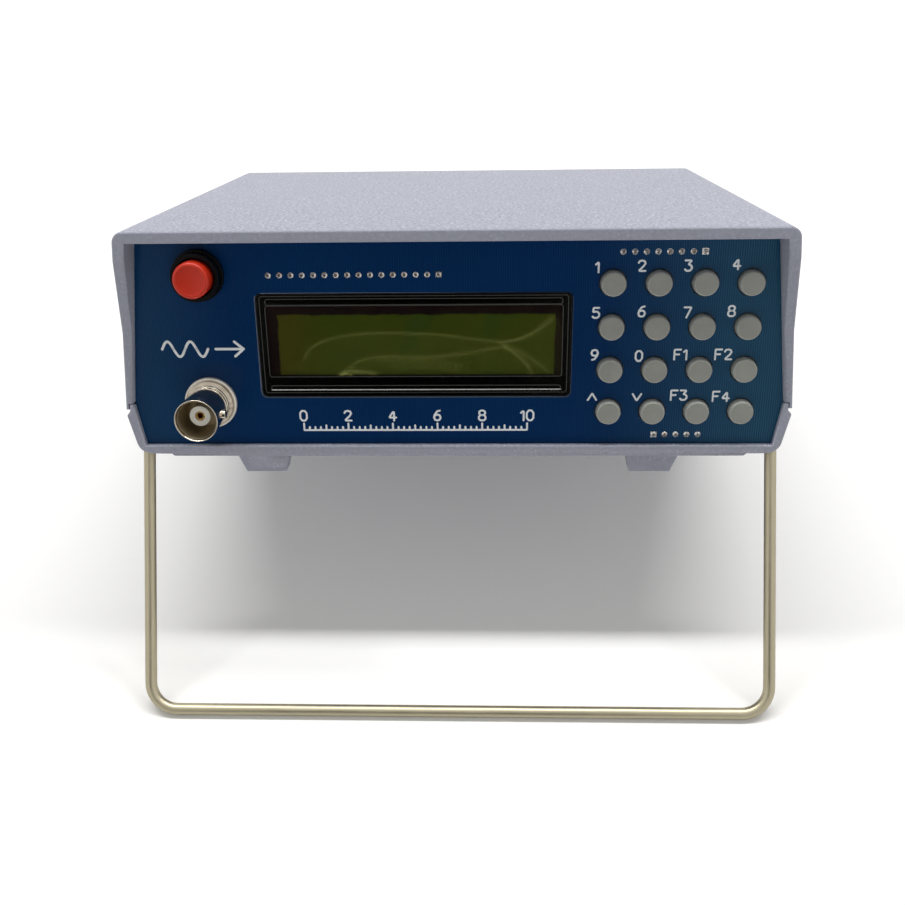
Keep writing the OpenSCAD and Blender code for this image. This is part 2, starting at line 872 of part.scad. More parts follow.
module key_places() {
    for (row = [0 : key_rows - 1], column = [0 : key_columns - 1])
        key_place(row, column)
            children();
}

module key_place(row, column) {
    translate([
        keys_x + (column - (key_columns - 1) / 2) * key_pitch_x,
        0,
        keys_z - (row - (key_rows - 1) / 2) * key_pitch_z
    ])
        children();
}

module front_panel() {
    color(panel_blue)
        in_case()
            difference() {
                along_y(0, panel_t)
                    polygon(inside_outline(groove_depth - panel_gap));
                translate([lcd_x, 0, lcd_z])
                    along_y(-over, panel_t + over)
                        round_rect(lcd_w + 2 * lcd_gap, lcd_h + 2 * lcd_gap, lcd_corner_r + lcd_gap);
                key_places()
                    rod_y(0, 0, key_d / 2 + key_gap, -over, panel_t + over);
                rod_y(power_x, power_z, power_barrel_d / 2 + screw_gap, -over, panel_t + over);
                rod_y(bnc_x, bnc_z, bnc_thread_d / 2 + screw_gap, -over, panel_t + over);
                header_holes(lcd_pin_x, lcd_pin_z, lcd_pins, 0, panel_t);
                header_holes(keypad_pin_x, keypad_pin_z, keypad_pins, 0, panel_t);
                header_holes(data_pin_x, data_pin_z, data_pins, 0, panel_t);
            }
}

module rear_panel() {
    color(black)
        in_case()
            difference() {
                along_y(rear_panel_y, rear_panel_y + rear_panel_t)
                    polygon(inside_outline(groove_depth - panel_gap));
                rod_y(
                    inlet_x, inlet_z, inlet_barrel_d / 2 + screw_gap,
                    rear_panel_y - over, rear_panel_y + rear_panel_t + over
                );
            }
}

// Tilt bail, one bent wire

module bail_half_wire() {
    // Pivot pin
    translate([pin_tip_x, 0, 0])
        rotate([0, 90, 0])
            cylinder(h = bail_half - pin_bend_r - pin_tip_x, r = wire_r);
    // Bend between pin and leg
    translate([bail_half - pin_bend_r, 0, -pin_bend_r])
        rotate([90, 0, 0])
            rotate_extrude(angle = 90)
                translate([pin_bend_r, 0])
                    circle(wire_r);
    // Leg
    translate([bail_half, 0, bar_bend_r - leg_len])
        cylinder(h = leg_len - bar_bend_r - pin_bend_r, r = wire_r);
    // Bend between leg and bar
    translate([bail_half - bar_bend_r, 0, bar_bend_r - leg_len])
        rotate([90, 0, 0])
            rotate_extrude(angle = -90)
                translate([bar_bend_r, 0])
                    circle(wire_r);
    // Half of the bar
    translate([0, 0, -leg_len])
        rotate([0, 90, 0])
            cylinder(h = bail_half - bar_bend_r, r = wire_r);
}

module tilt_bail() {
    color(nickel)
        in_case()
            translate([0, pivot_y, pivot_z])
                rotate([-bail_lean, 0, 0])
                    left_and_right()
                        bail_half_wire();
}

// Display

module lcd_frame() {
    view_z = lcd_z + view_up;
    color(black)
        in_case()
            difference() {
                translate([lcd_x, 0, lcd_z])
                    along_y(lcd_recess, lcd_board_y)
                        round_rect(lcd_w, lcd_h, lcd_corner_r);
                block(
                    [lcd_x - lcd_w / 2 + frame_t, lcd_recess + frame_t, lcd_z - lcd_h / 2 + frame_t],
                    [lcd_x + lcd_w / 2 - frame_t, lcd_board_y + over, lcd_z + lcd_h / 2 - frame_t]
                );
                block(
                    [lcd_x - view_w / 2, lcd_recess - over, view_z - view_h / 2],
                    [lcd_x + view_w / 2, lcd_recess + frame_t + over, view_z + view_h / 2]
                );
                for (side = [-1, 1])
                    block(
                        [lcd_x - view_w / 2, lcd_recess - over, lcd_z + side * press_z - press_h / 2],
                        [lcd_x + view_w / 2, lcd_recess + press_depth, lcd_z + side * press_z + press_h / 2]
                    );
            }
}

// Block that fills the display frame between two depths
module inside_frame(front, back) {
    half_w = lcd_w / 2 - frame_t - glass_gap;
    half_h = lcd_h / 2 - frame_t - glass_gap;
    block([lcd_x - half_w, front, lcd_z - half_h], [lcd_x + half_w, back, lcd_z + half_h]);
}

module lcd_glass() {
    color(glass_green)
        in_case()
            inside_frame(lcd_recess + frame_t, lcd_recess + frame_t + glass_t);
}

module lcd_backlight() {
    color(white)
        in_case()
            inside_frame(lcd_recess + frame_t + glass_t, lcd_board_y);
}

module lcd_board() {
    color(board_green)
        in_case()
            difference() {
                block(
                    [lcd_x - lcd_board_w / 2, lcd_board_y, lcd_board_top - lcd_board_h],
                    [lcd_x + lcd_board_w / 2, lcd_board_y + board_t, lcd_board_top]
                );
                header_holes(lcd_pin_x, lcd_pin_z, lcd_pins, lcd_board_y, lcd_board_y + board_t);
            }
}

module lcd_header_strip() {
    color(black)
        in_case()
            header_strip(lcd_pin_x, lcd_pin_z, lcd_pins);
}

module lcd_header_pins() {
    color(tin)
        in_case()
            header_pins(lcd_pin_x, lcd_pin_z, lcd_pins, lcd_board_y + board_t + pin_tail);
}

// Keypad

module keypad_board() {
    color(board_green)
        in_case()
            difference() {
                block(
                    [keys_x - keypad_half_w, keypad_y, keypad_low],
                    [keys_x + keypad_half_w, keypad_y + board_t, keypad_high]
                );
                header_holes(keypad_pin_x, keypad_pin_z, keypad_pins, keypad_y, keypad_y + board_t);
            }
}

module key_switches() {
    color(black)
        in_case()
            key_places()
                difference() {
                    block([-switch_w / 2, switch_y, -switch_w / 2], [switch_w / 2, keypad_y, switch_w / 2]);
                    rod_y(0, 0, key_stem_d / 2 + run_gap, switch_y - over, keypad_y - run_gap);
                }
}

module key_cap(row, column) {
    key_r = key_d / 2;
    stem_back = keypad_y - run_gap - key_travel - run_gap;
    crown = [for (i = [0 : key_crown_steps])
        let (turn = 90 * i / key_crown_steps)
        [key_r - key_crown_w * (1 - sin(turn)), key_crown_h * (1 - cos(turn)) - key_proud]];
    color(key_grey)
        in_case()
            key_place(row, column)
                turned_y(0, 0, concat([[0, -key_proud]], crown, [
                    [key_r, key_flange_y],
                    [key_r + key_flange, key_flange_y],
                    [key_r + key_flange, key_back_y],
                    [key_stem_d / 2, key_back_y],
                    [key_stem_d / 2, stem_back],
                    [0, stem_back]
                ]));
}

module keypad_header_strip() {
    color(black)
        in_case()
            header_strip(keypad_pin_x, keypad_pin_z, keypad_pins);
}

module keypad_header_pins() {
    color(tin)
        in_case()
            header_pins(keypad_pin_x, keypad_pin_z, keypad_pins, keypad_y + board_t + pin_tail);
}

module data_header_strip() {
    color(black)
        in_case()
            header_strip(data_pin_x, data_pin_z, data_pins);
}

module data_header_pins() {
    color(tin)
        in_case()
            header_pins(data_pin_x, data_pin_z, data_pins, ribbon_y);
}

// Power switch

module power_switch_collar() {
    color(black)
        in_case()
            turned_y(power_x, power_z, [
                [power_bore_r, -power_collar_h],
                [power_collar_d / 2, -power_collar_h],
                [power_collar_d / 2, -power_flange_t],
                [power_flange_d / 2, -power_flange_t],
                [power_flange_d / 2, 0],
                [power_barrel_d / 2, 0],
                [power_barrel_d / 2, power_body_y],
                [power_bore_r, power_body_y]
            ]);
}

module power_switch_nut() {
    color(nickel)
        in_case()
            difference() {
                hex_y(power_x, power_z, power_barrel_d + 2 * power_nut_rim, panel_t, panel_t + power_nut_t);
                rod_y(power_x, power_z, power_barrel_d / 2 + thread_gap, 0, panel_t + power_nut_t + over);
            }
}

module power_switch_body() {
    half = power_body_w / 2;
    color(black)
        in_case()
            difference() {
                block(
                    [power_x - half, power_body_y, power_z - half],
                    [power_x + half, power_body_y + power_body_l, power_z + half]
                );
                rod_y(
                    power_x, power_z, power_plunger_r + run_gap,
                    power_body_y - over, power_plunger_tip + power_travel + run_gap
                );
            }
}

module power_switch_tags() {
    color(tin)
        in_case()
            for (side = [-1, 1])
                translate([power_x + side * power_tag_x, 0, power_z])
                    block(
                        [-power_tag_w / 2, power_tag_y, -power_tag_t / 2],
                        [power_tag_w / 2, power_tag_y + power_tag_l, power_tag_t / 2]
                    );
}

module power_button() {
    r = power_button_d / 2;
    color(button_red)
        in_case()
            turned_y(power_x, power_z, [
                [0, -power_button_h],
                [r - power_button_edge, -power_button_h],
                [r, power_button_edge - power_button_h],
                [r, power_button_back],
                [power_plunger_r, power_button_back],
                [power_plunger_r, power_plunger_tip],
                [0, power_plunger_tip]
            ]);
}

// Output socket

module bnc_shell() {
    color(nickel)
        in_case() {
            difference() {
                turned_y(bnc_x, bnc_z, [
                    [bnc_bore_d / 2, -bnc_l],
                    [bnc_d / 2, -bnc_l],
                    [bnc_d / 2, bnc_sleeve_y],
                    [bnc_barrel_r, bnc_sleeve_y],
                    [bnc_barrel_r, bnc_cone_y],
                    [bnc_cone_r, bnc_cone_y + bnc_cone_t / 2],
                    [bnc_cone_r, -bnc_flange_t],
                    [bnc_flange_d / 2, -bnc_flange_t],
                    [bnc_flange_d / 2, 0],
                    [bnc_thread_d / 2, 0],
                    [bnc_thread_d / 2, bnc_back_y],
                    [bnc_insulator_d / 2, bnc_back_y],
                    [bnc_insulator_d / 2, bnc_socket_y],
                    [bnc_bore_d / 2, bnc_socket_y]
                ]);
                for (i = [1, 2])
                    bnc_groove(bnc_cone_y - i * bnc_groove_pitch);
            }
            for (side = [-1, 1])
                translate([bnc_x, bnc_lug_back - bnc_l, bnc_z])
                    rotate([0, side * 90, 0])
                        translate([0, 0, bnc_wall_r])
                            cylinder(h = bnc_lug_span / 2 - bnc_wall_r, d = bnc_lug_d);
        }
}

// Ring cut into the socket's barrel
module bnc_groove(front) {
    floor_r = bnc_barrel_r - bnc_groove_depth;
    turned_y(bnc_x, bnc_z, [
        [floor_r, front],
        [bnc_flange_d, front],
        [bnc_flange_d, front + bnc_groove_w],
        [floor_r, front + bnc_groove_w]
    ]);
}

module bnc_insulator() {
    color(white)
        in_case()
            difference() {
                rod_y(bnc_x, bnc_z, bnc_insulator_d / 2, bnc_face_y, bnc_back_y);
                rod_y(bnc_x, bnc_z, bnc_contact_d / 2, bnc_face_y - over, bnc_back_y + over);
            }
}

module bnc_contact() {
    face_y = bnc_face_y + bnc_contact_back;
    color(gold)
        in_case()
            difference() {
                rod_y(bnc_x, bnc_z, bnc_contact_d / 2, face_y, bnc_tail_y);
                rod_y(bnc_x, bnc_z, bnc_pin_d / 2, face_y - over, face_y + bnc_pin_l);
            }
}

module bnc_washer() {
    color(tin)
        in_case()
            difference() {
                rod_y(bnc_x, bnc_z, bnc_thread_d / 2 + bnc_washer_rim, panel_t, panel_t + bnc_washer_t);
                rod_y(bnc_x, bnc_z, bnc_thread_d / 2 + screw_gap, 0, panel_t + bnc_washer_t + over);
            }
}

module bnc_nut() {
    nut_y = panel_t + bnc_washer_t;
    color(nickel)
        in_case()
            difference() {
                hex_y(bnc_x, bnc_z, bnc_thread_d + 2 * bnc_nut_rim, nut_y, nut_y + bnc_nut_t);
                rod_y(bnc_x, bnc_z, bnc_thread_d / 2 + thread_gap, 0, nut_y + bnc_nut_t + over);
            }
}

// Power inlet on the rear panel

module inlet_body() {
    outer_y = rear_panel_y + rear_panel_t;
    color(black)
        in_case()
            difference() {
                turned_y(inlet_x, inlet_z, [
                    [0, inlet_back_y],
                    [inlet_barrel_d / 2, inlet_back_y],
                    [inlet_barrel_d / 2, outer_y],
                    [inlet_flange_d / 2, outer_y],
                    [inlet_flange_d / 2, inlet_y - inlet_edge],
                    [inlet_flange_d / 2 - inlet_edge, inlet_y],
                    [0, inlet_y]
                ]);
                rod_y(inlet_x, inlet_z, inlet_bore_d / 2, inlet_y - inlet_depth, inlet_y + over);
                rod_y(inlet_x, inlet_z, inlet_pin_d / 2, inlet_back_y - over, inlet_y);
            }
}

module inlet_pin() {
    color(tin)
        in_case()
            rod_y(inlet_x, inlet_z, inlet_pin_d / 2, inlet_back_y - inlet_tag_l, inlet_y - inlet_pin_back);
}

module inlet_nut() {
    color(black)
        in_case()
            difference() {
                hex_y(
                    inlet_x, inlet_z, inlet_barrel_d + 2 * inlet_nut_rim,
                    rear_panel_y - inlet_nut_t, rear_panel_y
                );
                rod_y(
                    inlet_x, inlet_z, inlet_barrel_d / 2 + thread_gap,
                    rear_panel_y - inlet_nut_t - over, rear_panel_y + over
                );
            }
}

// Main board, its parts and the screws

module main_board() {
    color(board_green)
        in_case()
            difference() {
                block([-main_w / 2, main_y, main_z], [main_w / 2, main_y + main_d, main_top_z]);
                for (x = [-main_screw_x, main_screw_x], y = main_screw_y)
                    translate([x, y, main_z - over])
                        cylinder(h = board_t + 2 * over, d = board_screw_d + 2 * screw_gap);
            }
}

module shield_can() {
    low = [can_x - can_w / 2, can_y, main_top_z];
    high = [can_x + can_w / 2, can_y + can_d, main_top_z + can_h];
    color(tin)
        in_case()
            difference() {
                block(low, high);
                block(low + [can_sheet, can_sheet, -over], high - [can_sheet, can_sheet, can_sheet]);
            }
}

// Chip, regulator, capacitors and the ribbon's socket
module board_parts() {
    chip_x = can_x + can_w / 2 + chip_gap;
    regulator_y = can_y + chip_w + chip_gap;
    capacitor_x = can_x - can_w / 2 - capacitor_d;
    color(black)
        in_case()
            translate([0, 0, main_top_z]) {
                block([chip_x, can_y, 0], [chip_x + chip_w, can_y + chip_w, chip_t]);
                block(
                    [chip_x, regulator_y, 0],
                    [chip_x + regulator_w, regulator_y + regulator_d, regulator_h]
                );
                for (i = [1, 2])
                    translate([capacitor_x, can_y + i * capacitor_pitch, 0])
                        cylinder(h = capacitor_h, d = capacitor_d);
                block(
                    [data_pin_x - ribbon_half, socket_y, 0],
                    [min(data_pin_x + ribbon_half, main_w / 2), socket_y + socket_d, socket_h]
                );
            }
}

module board_screws() {
    shank_l = board_t + board_thread_l - thread_end_gap;
    color(nickel)
        in_case()
            for (x = [-main_screw_x, main_screw_x], y = main_screw_y)
                translate([x, y, main_top_z]) {
                    cylinder(h = board_head_t, r = board_screw_d / 2 + board_head_rim);
                    translate([0, 0, -shank_l])
                        cylinder(h = shank_l, d = board_screw_d);
                }
}

module case_screws() {
    shank_l = post_split_z - case_head_z;
    slot_l = 2 * case_head_r - case_head_rim;
    color(nickel)
        in_case()
            for (x = [-case_screw_x, case_screw_x], y = case_screw_y)
                translate([x, y, case_head_z]) {
                    difference() {
                        translate([0, 0, -case_head_t])
                            cylinder(h = case_head_t, r = case_head_r);
                        for (turn = [0, 90])
                            rotate([0, 0, turn])
                                translate([-slot_l / 2, -case_slot_w / 2, -case_head_t - over])
                                    cube([slot_l, case_slot_w, case_slot_depth + over]);
                    }
                    cylinder(h = shank_l, d = case_screw_d);
                    cylinder(h = shank_l + case_thread_l - thread_end_gap, d = case_core_d);
                }
}

// Leads inside the case

module rf_lead() {
    can_left = can_x - can_w / 2;
    color(black)
        in_case()
            lead([
                [bnc_x, bnc_tail_y, bnc_z],
                [bnc_x, bnc_tail_y + lead_straight, bnc_z],
                [bnc_x + rf_side, main_y, bnc_z],
                [can_left - 2 * rf_side, can_y, bnc_z],
                [can_left - lead_straight, can_y + lead_clear, bnc_z],
                [can_left, can_y + lead_clear, bnc_z]
            ], rf_lead_d, [0, 0, 1]);
}

module power_lead() {
    start_y = power_tag_y + power_tag_l;
    color(lead_red)
        in_case()
            lead([
                [power_x + power_tag_x, start_y, power_z],
                [power_x + power_tag_x, start_y + lead_straight, power_z],
                [power_drop_x, power_drop_y, power_z - power_drop_h],
                [power_drop_x, power_drop_y, main_top_z]
            ], supply_lead_d, [1, 0, 0]);
}

module inlet_lead() {
    color(lead_red)
        in_case()
            lead([
                [inlet_x, inlet_back_y - inlet_tag_l, inlet_z],
                [inlet_x, inlet_drop_y + lead_straight, inlet_z],
                [inlet_x, inlet_drop_y, inlet_z - inlet_drop_h],
                [inlet_x, inlet_drop_y, main_top_z]
            ], supply_lead_d, [1, 0, 0]);
}

module data_ribbon() {
    low = data_pin_z - ribbon_t / 2;
    color(key_grey)
        in_case()
            along_x(data_pin_x - ribbon_half, data_pin_x + ribbon_half)
                polygon([
                    [ribbon_y, low],
                    [ribbon_rise_y, low],
                    [main_y - lead_straight, ribbon_high],
                    [socket_y, ribbon_high],
                    [socket_y, ribbon_high + ribbon_t],
                    [main_y - lead_straight, ribbon_high + ribbon_t],
                    [ribbon_rise_y, low + ribbon_t],
                    [ribbon_y, low + ribbon_t]
                ]);
}

top_cover();
bottom_shell();
front_panel();
rear_panel();
tilt_bail();
lcd_frame();
lcd_glass();
lcd_backlight();
lcd_board();
lcd_header_strip();
lcd_header_pins();
keypad_board();
key_switches();
keypad_header_strip();
keypad_header_pins();
for (i = [0 : len(KEYS) - 1])
    key_cap(floor(i / key_columns), i % key_columns);
data_header_strip();
data_header_pins();
power_switch_collar();
power_switch_nut();
power_switch_body();
power_switch_tags();
power_button();
bnc_shell();
bnc_insulator();
bnc_contact();
bnc_washer();
bnc_nut();
inlet_body();
inlet_pin();
inlet_nut();
main_board();
shield_can();
board_parts();
board_screws();
case_screws();
rf_lead();
power_lead();
inlet_lead();
data_ribbon();
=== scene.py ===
"""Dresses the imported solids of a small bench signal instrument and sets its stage."""

import json
import math
from functools import cached_property

import bmesh
import bpy
import numpy as np
from mathutils import Euler, Matrix, Vector
from mathutils.bvhtree import BVHTree

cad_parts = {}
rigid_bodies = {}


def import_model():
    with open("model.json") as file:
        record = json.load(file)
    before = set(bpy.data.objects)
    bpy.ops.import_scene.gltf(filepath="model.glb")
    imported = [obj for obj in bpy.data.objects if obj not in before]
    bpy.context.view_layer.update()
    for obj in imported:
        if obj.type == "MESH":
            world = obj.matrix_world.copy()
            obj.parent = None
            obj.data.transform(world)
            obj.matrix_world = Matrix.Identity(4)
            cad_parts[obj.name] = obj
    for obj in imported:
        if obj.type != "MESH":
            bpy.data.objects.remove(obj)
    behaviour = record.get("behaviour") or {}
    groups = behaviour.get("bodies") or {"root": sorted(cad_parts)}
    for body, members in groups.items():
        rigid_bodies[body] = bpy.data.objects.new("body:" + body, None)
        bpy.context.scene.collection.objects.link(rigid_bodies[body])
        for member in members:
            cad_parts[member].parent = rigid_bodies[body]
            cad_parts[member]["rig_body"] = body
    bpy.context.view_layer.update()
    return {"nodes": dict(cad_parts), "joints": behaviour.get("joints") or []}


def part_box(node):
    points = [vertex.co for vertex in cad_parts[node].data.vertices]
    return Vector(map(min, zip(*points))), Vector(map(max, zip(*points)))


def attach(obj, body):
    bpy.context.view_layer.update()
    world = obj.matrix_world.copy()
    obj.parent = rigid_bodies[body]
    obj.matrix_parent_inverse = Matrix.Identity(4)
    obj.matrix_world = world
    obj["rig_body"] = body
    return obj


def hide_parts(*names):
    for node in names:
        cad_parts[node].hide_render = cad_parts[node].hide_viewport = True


bl_info = {
    "name": "Bench signal instrument",
    "version": (1, 0, 0),
    "blender": (4, 5, 0),
    "location": "3D View > Sidebar > Instrument",
    "description": "Finishes, print and stage for a small bench signal instrument",
    "category": "Object",
}

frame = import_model()
MM = 0.001


def joint(name):
    """The frame's joint of that name."""
    return next(j for j in frame["joints"] if j["name"] == name)


def solid(node):
    """A node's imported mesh."""
    return frame["nodes"][node].data


def box_of(node, view):
    """The lowest and highest corner of a node's box, seen from another frame."""
    columns = list(zip(*(view @ v.co for v in solid(node).vertices)))
    return Vector([min(c) for c in columns]), Vector([max(c) for c in columns])


# The keys travel along the case's depth, so their axis gives the case's tilt
PRESS_AXIS = Vector(joint("key_1_press")["axis"]).normalized()
TILT = math.atan2(-PRESS_AXIS.z, PRESS_AXIS.y)
UPRIGHT = Matrix.Rotation(TILT, 3, "X")
TILTED = UPRIGHT.transposed()
PANEL_LOW, PANEL_HIGH = box_of("front_panel", UPRIGHT)
PANEL_CORNER = TILTED @ Vector(((PANEL_LOW.x + PANEL_HIGH.x) / 2, PANEL_LOW.y, PANEL_LOW.z))
# The case frame: x to the right, y back from the panel's face, z up from its lower edge, in millimetres
CASE = Matrix.Translation(PANEL_CORNER) @ TILTED.to_4x4() @ Matrix.Scale(MM, 4)
FROM_WORLD = CASE.inverted()
FRONT = -PRESS_AXIS
TOP = TILTED @ Vector((0, 0, 1))
# Stands a drawing up on the panel's face
ON_PANEL = CASE @ Matrix.Rotation(math.radians(90), 4, "X")
KEY_LABELS = {"key_" + label.lower(): label for label in "1 2 3 4 5 6 7 8 9 0 F1 F2 up down F3 F4".split()}
# A label's right end and foot from its key's middle, and how far some stand off that, in millimetres
LABEL_PLACE = (-2.75, 2.35)
LABEL_SHIFTS = {
    "key_1": (-0.55, 0.05), "key_2": (-0.4, 0.3), "key_3": (-0.4, 0.25), "key_4": (0, 0.55),
    "key_5": (0, -0.25), "key_7": (0.15, -0.25), "key_8": (-0.3, 0), "key_0": (-0.1, -0.3),
    "key_f2": (0.4, 0), "key_down": (0.15, -0.2), "key_f3": (0.5, 0.3),
}
# Each header's number of pins and the one with a square pad
HEADERS = {"lcd_header_pins": (16, 15), "keypad_header_pins": (8, 7), "data_header_pins": (5, 0)}


def span(node):
    """A node's lowest and highest corner in the case frame."""
    return box_of(node, FROM_WORLD)


def number(name, description, default, least=0, unit="NONE"):
    """A number setting."""
    return bpy.props.FloatProperty(name=name, description=description, default=default, min=least, unit=unit)


def length(name, description, default, least=0):
    """A length setting, given in millimetres."""
    return number(name, description, default * MM, least * MM, "LENGTH")


def tint(name, description, default):
    """A colour setting."""
    return bpy.props.FloatVectorProperty(
        name=name, description=description, default=default, subtype="COLOR", min=0, max=1)


class InstrumentSizes(bpy.types.PropertyGroup):
    """Sizes of what the scene adds to the solids."""

    case_edge: length("Case edge", "Rounding of the moulded case's edges", 0.45)
    grain: length("Case grain", "Width of one pebble of the moulded grain", 0.9, 0.1)
    grain_depth: length("Grain depth", "Height of the moulded grain", 0.09)
    hatch: length("Copper hatch", "Pitch of the copper mesh under the panel's blue mask", 0.52, 0.1)
    stroke: length("Legend stroke", "Width of the lines of the legends and the ruled scale", 0.46, 0.05)
    legend_height: length("Legend height", "Height of a key's number", 2.3, 0.5)
    sign_stroke: length("Sign stroke", "Width of the lines of the output sign", 0.62, 0.05)
    ink: length("Ink height", "How far the print stands on the panel", 0.05, 0.005)
    pad_radius: length("Pad radius", "Radius of a header pin's copper pad", 0.7, 0.4)
    bar_bend: length("Bar bend", "Bend radius of the bail's wire at its bar", 6.5, 1)
    pin_bend: length("Pin bend", "Bend radius of the bail's wire at its pins", 2, 1)


class InstrumentColours(bpy.types.PropertyGroup):
    """Colours of the finishes."""

    shell: tint("Case", "Grey of the moulded case", (0.35, 0.36, 0.43))
    panel: tint("Panel", "Blue of the panel's mask", (0.0004, 0.0275, 0.108))
    keys: tint("Keys", "Grey of the key caps", (0.305, 0.31, 0.28))
    button: tint("Power button", "Red of the power button", (0.57, 0.025, 0.006))
    screen: tint("Screen", "Olive of the resting display", (0.045, 0.06, 0.0068))
    wire: tint("Bail wire", "Nickel of the bail's wire", (0.49, 0.44, 0.31))
    ink: tint("Print", "White of the print", (0.94, 0.975, 1.0))


class InstrumentStage(bpy.types.PropertyGroup):
    """Light and camera."""

    lamp_power: number("Lamp", "Power of the strip lamp", 16, 0, "POWER")
    front_power: number("Front lamp", "Power of the low lamp in front", 1.6, 0, "POWER")
    ambient: number("Ambient", "Light from all round", 0.33)
    lens: number("Lens", "Focal length on a 36 mm sensor", 40.7417, 1)


def sizes():
    """The sizes in use."""
    return bpy.context.scene.instrument_sizes


def colours():
    """The colours in use."""
    return bpy.context.scene.instrument_colours


def toned(colour, share):
    """A colour made darker or lighter, no lighter than white."""
    return tuple(min(1, c * share) for c in colour)


def pick(sockets, key):
    """A node's socket by place, by identifier or by name with underscores."""
    if isinstance(key, int):
        return sockets[key]
    return next(s for s in sockets if key in (s.identifier, s.name.replace(" ", "_")))


def arithmetic(operation, swapped=False):
    """A method of a wire that adds a Math node."""
    def method(self, *others):
        values = (*others, self) if swapped else (self, *others)
        return self.tree.node("ShaderNodeMath", *values, operation=operation)
    return method


class Wire:
    """A node's output. Its arithmetic and its methods add nodes."""

    __add__ = __radd__ = arithmetic("ADD")
    __mul__ = __rmul__ = arithmetic("MULTIPLY")
    __sub__ = arithmetic("SUBTRACT")
    __rsub__ = arithmetic("SUBTRACT", swapped=True)
    __truediv__ = arithmetic("DIVIDE")
    __abs__ = arithmetic("ABSOLUTE")
    most = arithmetic("MAXIMUM")
    to_and_fro = arithmetic("PINGPONG")

    def __init__(self, tree, socket):
        self.tree = tree
        self.socket = socket

    def part(self, axis):
        """One coordinate of a point."""
        return self.tree.node("ShaderNodeSeparateXYZ", self, output=axis)

    def smooth(self, low, high):
        """0 below low, 1 above high, eased between."""
        return self.tree.node("ShaderNodeMapRange", self, low, high, interpolation_type="SMOOTHSTEP")

    def mix(self, first, second):
        """Two colours mixed by this share."""
        return self.tree.node(
            "ShaderNodeMix", data_type="RGBA", output="Result_Color",
            Factor_Float=self, A_Color=first, B_Color=second)

    def tones(self, colour, low, high):
        """A colour that runs from one tone of itself to another."""
        return self.mix(toned(colour, low), toned(colour, high))


class Tree:
    """Adds nodes to a tree. A kind given without its family is one of the tree's own."""

    family = "ShaderNode"

    def __init__(self, tree):
        self.tree = tree

    def fill(self, socket, value):
        """Links a wire to a socket or sets its value. A colour may leave out its alpha."""
        if isinstance(value, Wire):
            self.tree.links.new(value.socket, socket)
        elif socket.type == "RGBA" and len(value) == 3:
            socket.default_value = (*value, 1)
        else:
            socket.default_value = value

    def node(self, kind, *values, output=0, **named):
        """A node of that kind. Lower-case names are its settings, set first, and the rest are its sockets."""
        node = self.tree.nodes.new(kind if "Node" in kind else self.family + kind)
        settings = {name: value for name, value in named.items() if name.islower()}
        for name, value in settings.items():
            setattr(node, name, value)
        for key, value in [*enumerate(values), *named.items()]:
            if key not in settings:
                for item in value if isinstance(value, list) else [value]:
                    self.fill(pick(node.inputs, key), item)
        return Wire(self, pick(node.outputs, output))

    def vector(self, operation, *values, output="Vector"):
        """A Vector Math node on those values."""
        return self.node("ShaderNodeVectorMath", *values, operation=operation, output=output)

    def xyz(self, **parts):
        """A vector of its coordinates."""
        return self.node("ShaderNodeCombineXYZ", **parts)


class Finish(Tree):
    """A material with one Principled shader."""

    def __init__(self, name, **sockets):
        self.material = bpy.data.materials.new(name)
        self.material.use_nodes = True
        super().__init__(self.material.node_tree)
        self.set(**sockets)

    def set(self, **sockets):
        """Sets the shader's sockets, named with underscores, and returns the material."""
        for name, value in sockets.items():
            self.fill(pick(self.tree.nodes["Principled BSDF"].inputs, name), value)
        return self.material

    @cached_property
    def point(self):
        """The place in the case frame, in millimetres."""
        return self.node(
            "Mapping", Vector=self.node("TexCoord", output="Object"), Location=FROM_WORLD.translation,
            Rotation=(TILT, 0, 0), Scale=(1 / MM,) * 3)

    def noise(self, scale, detail=2, at=None):
        """Noise at a point, or else at the place in the case frame."""
        return self.node("TexNoise", output="Fac", Vector=at or self.point, Scale=scale, Detail=detail)

    def mark(self, name, output="Fac"):
        """A value that is kept on the mesh."""
        return self.node("Attribute", attribute_name=name, output=output)

    def facing(self, direction):
        """How far the surface faces a direction of the row frame."""
        normal = self.node("TexCoord", output="Normal")
        return self.vector("DOT_PRODUCT", normal, tuple(direction), output="Value")

    def bump(self, height, depth):
        """A bump on the normal, its depth in millimetres."""
        self.set(Normal=self.node("Bump", Height=height, Distance=depth * MM))


def moulded_plastic(name, colour):
    """Grained plastic of the case, with painted glints on its pebble tops. Faces that don't look up are
    smoother.
    """
    size = sizes()
    finish = Finish(name)
    scale = MM / size.grain
    pebble = finish.node(
        "TexVoronoi", feature="SMOOTH_F1", output="Distance",
        Vector=finish.point, Scale=scale, Smoothness=0.35)
    fine = finish.noise(3.5 * scale)
    speck = finish.noise(1.2 * scale).smooth(0.34, 0.66)
    # Painted highlight: bright dots on the pebble tops stand for glints of light on the grain
    glint = pebble.smooth(0.34, 0.18)
    blotch = finish.noise(0.05, 3)
    clump = finish.noise(0.3).smooth(0.34, 0.68)
    front = finish.facing(FRONT).smooth(0.5, 0.85)
    grain = 0.22 + 0.78 * finish.facing(TOP).smooth(0.75, 0.95)
    crisp = grain * (0.5 + clump * 0.5)
    shade = (speck - 0.58) * crisp + (blotch - 0.5) * 0.1 + 0.45
    body = shade.tones(colour, 0.74, 1.3)
    finish.bump((fine * 0.4 - pebble) * grain, size.grain_depth / MM)
    return finish.set(
        Base_Color=(glint * crisp * 0.85).mix(body, toned(colour, 1.9)),
        Roughness=0.5 + (fine - 0.5) * 0.2 + front * 0.08)


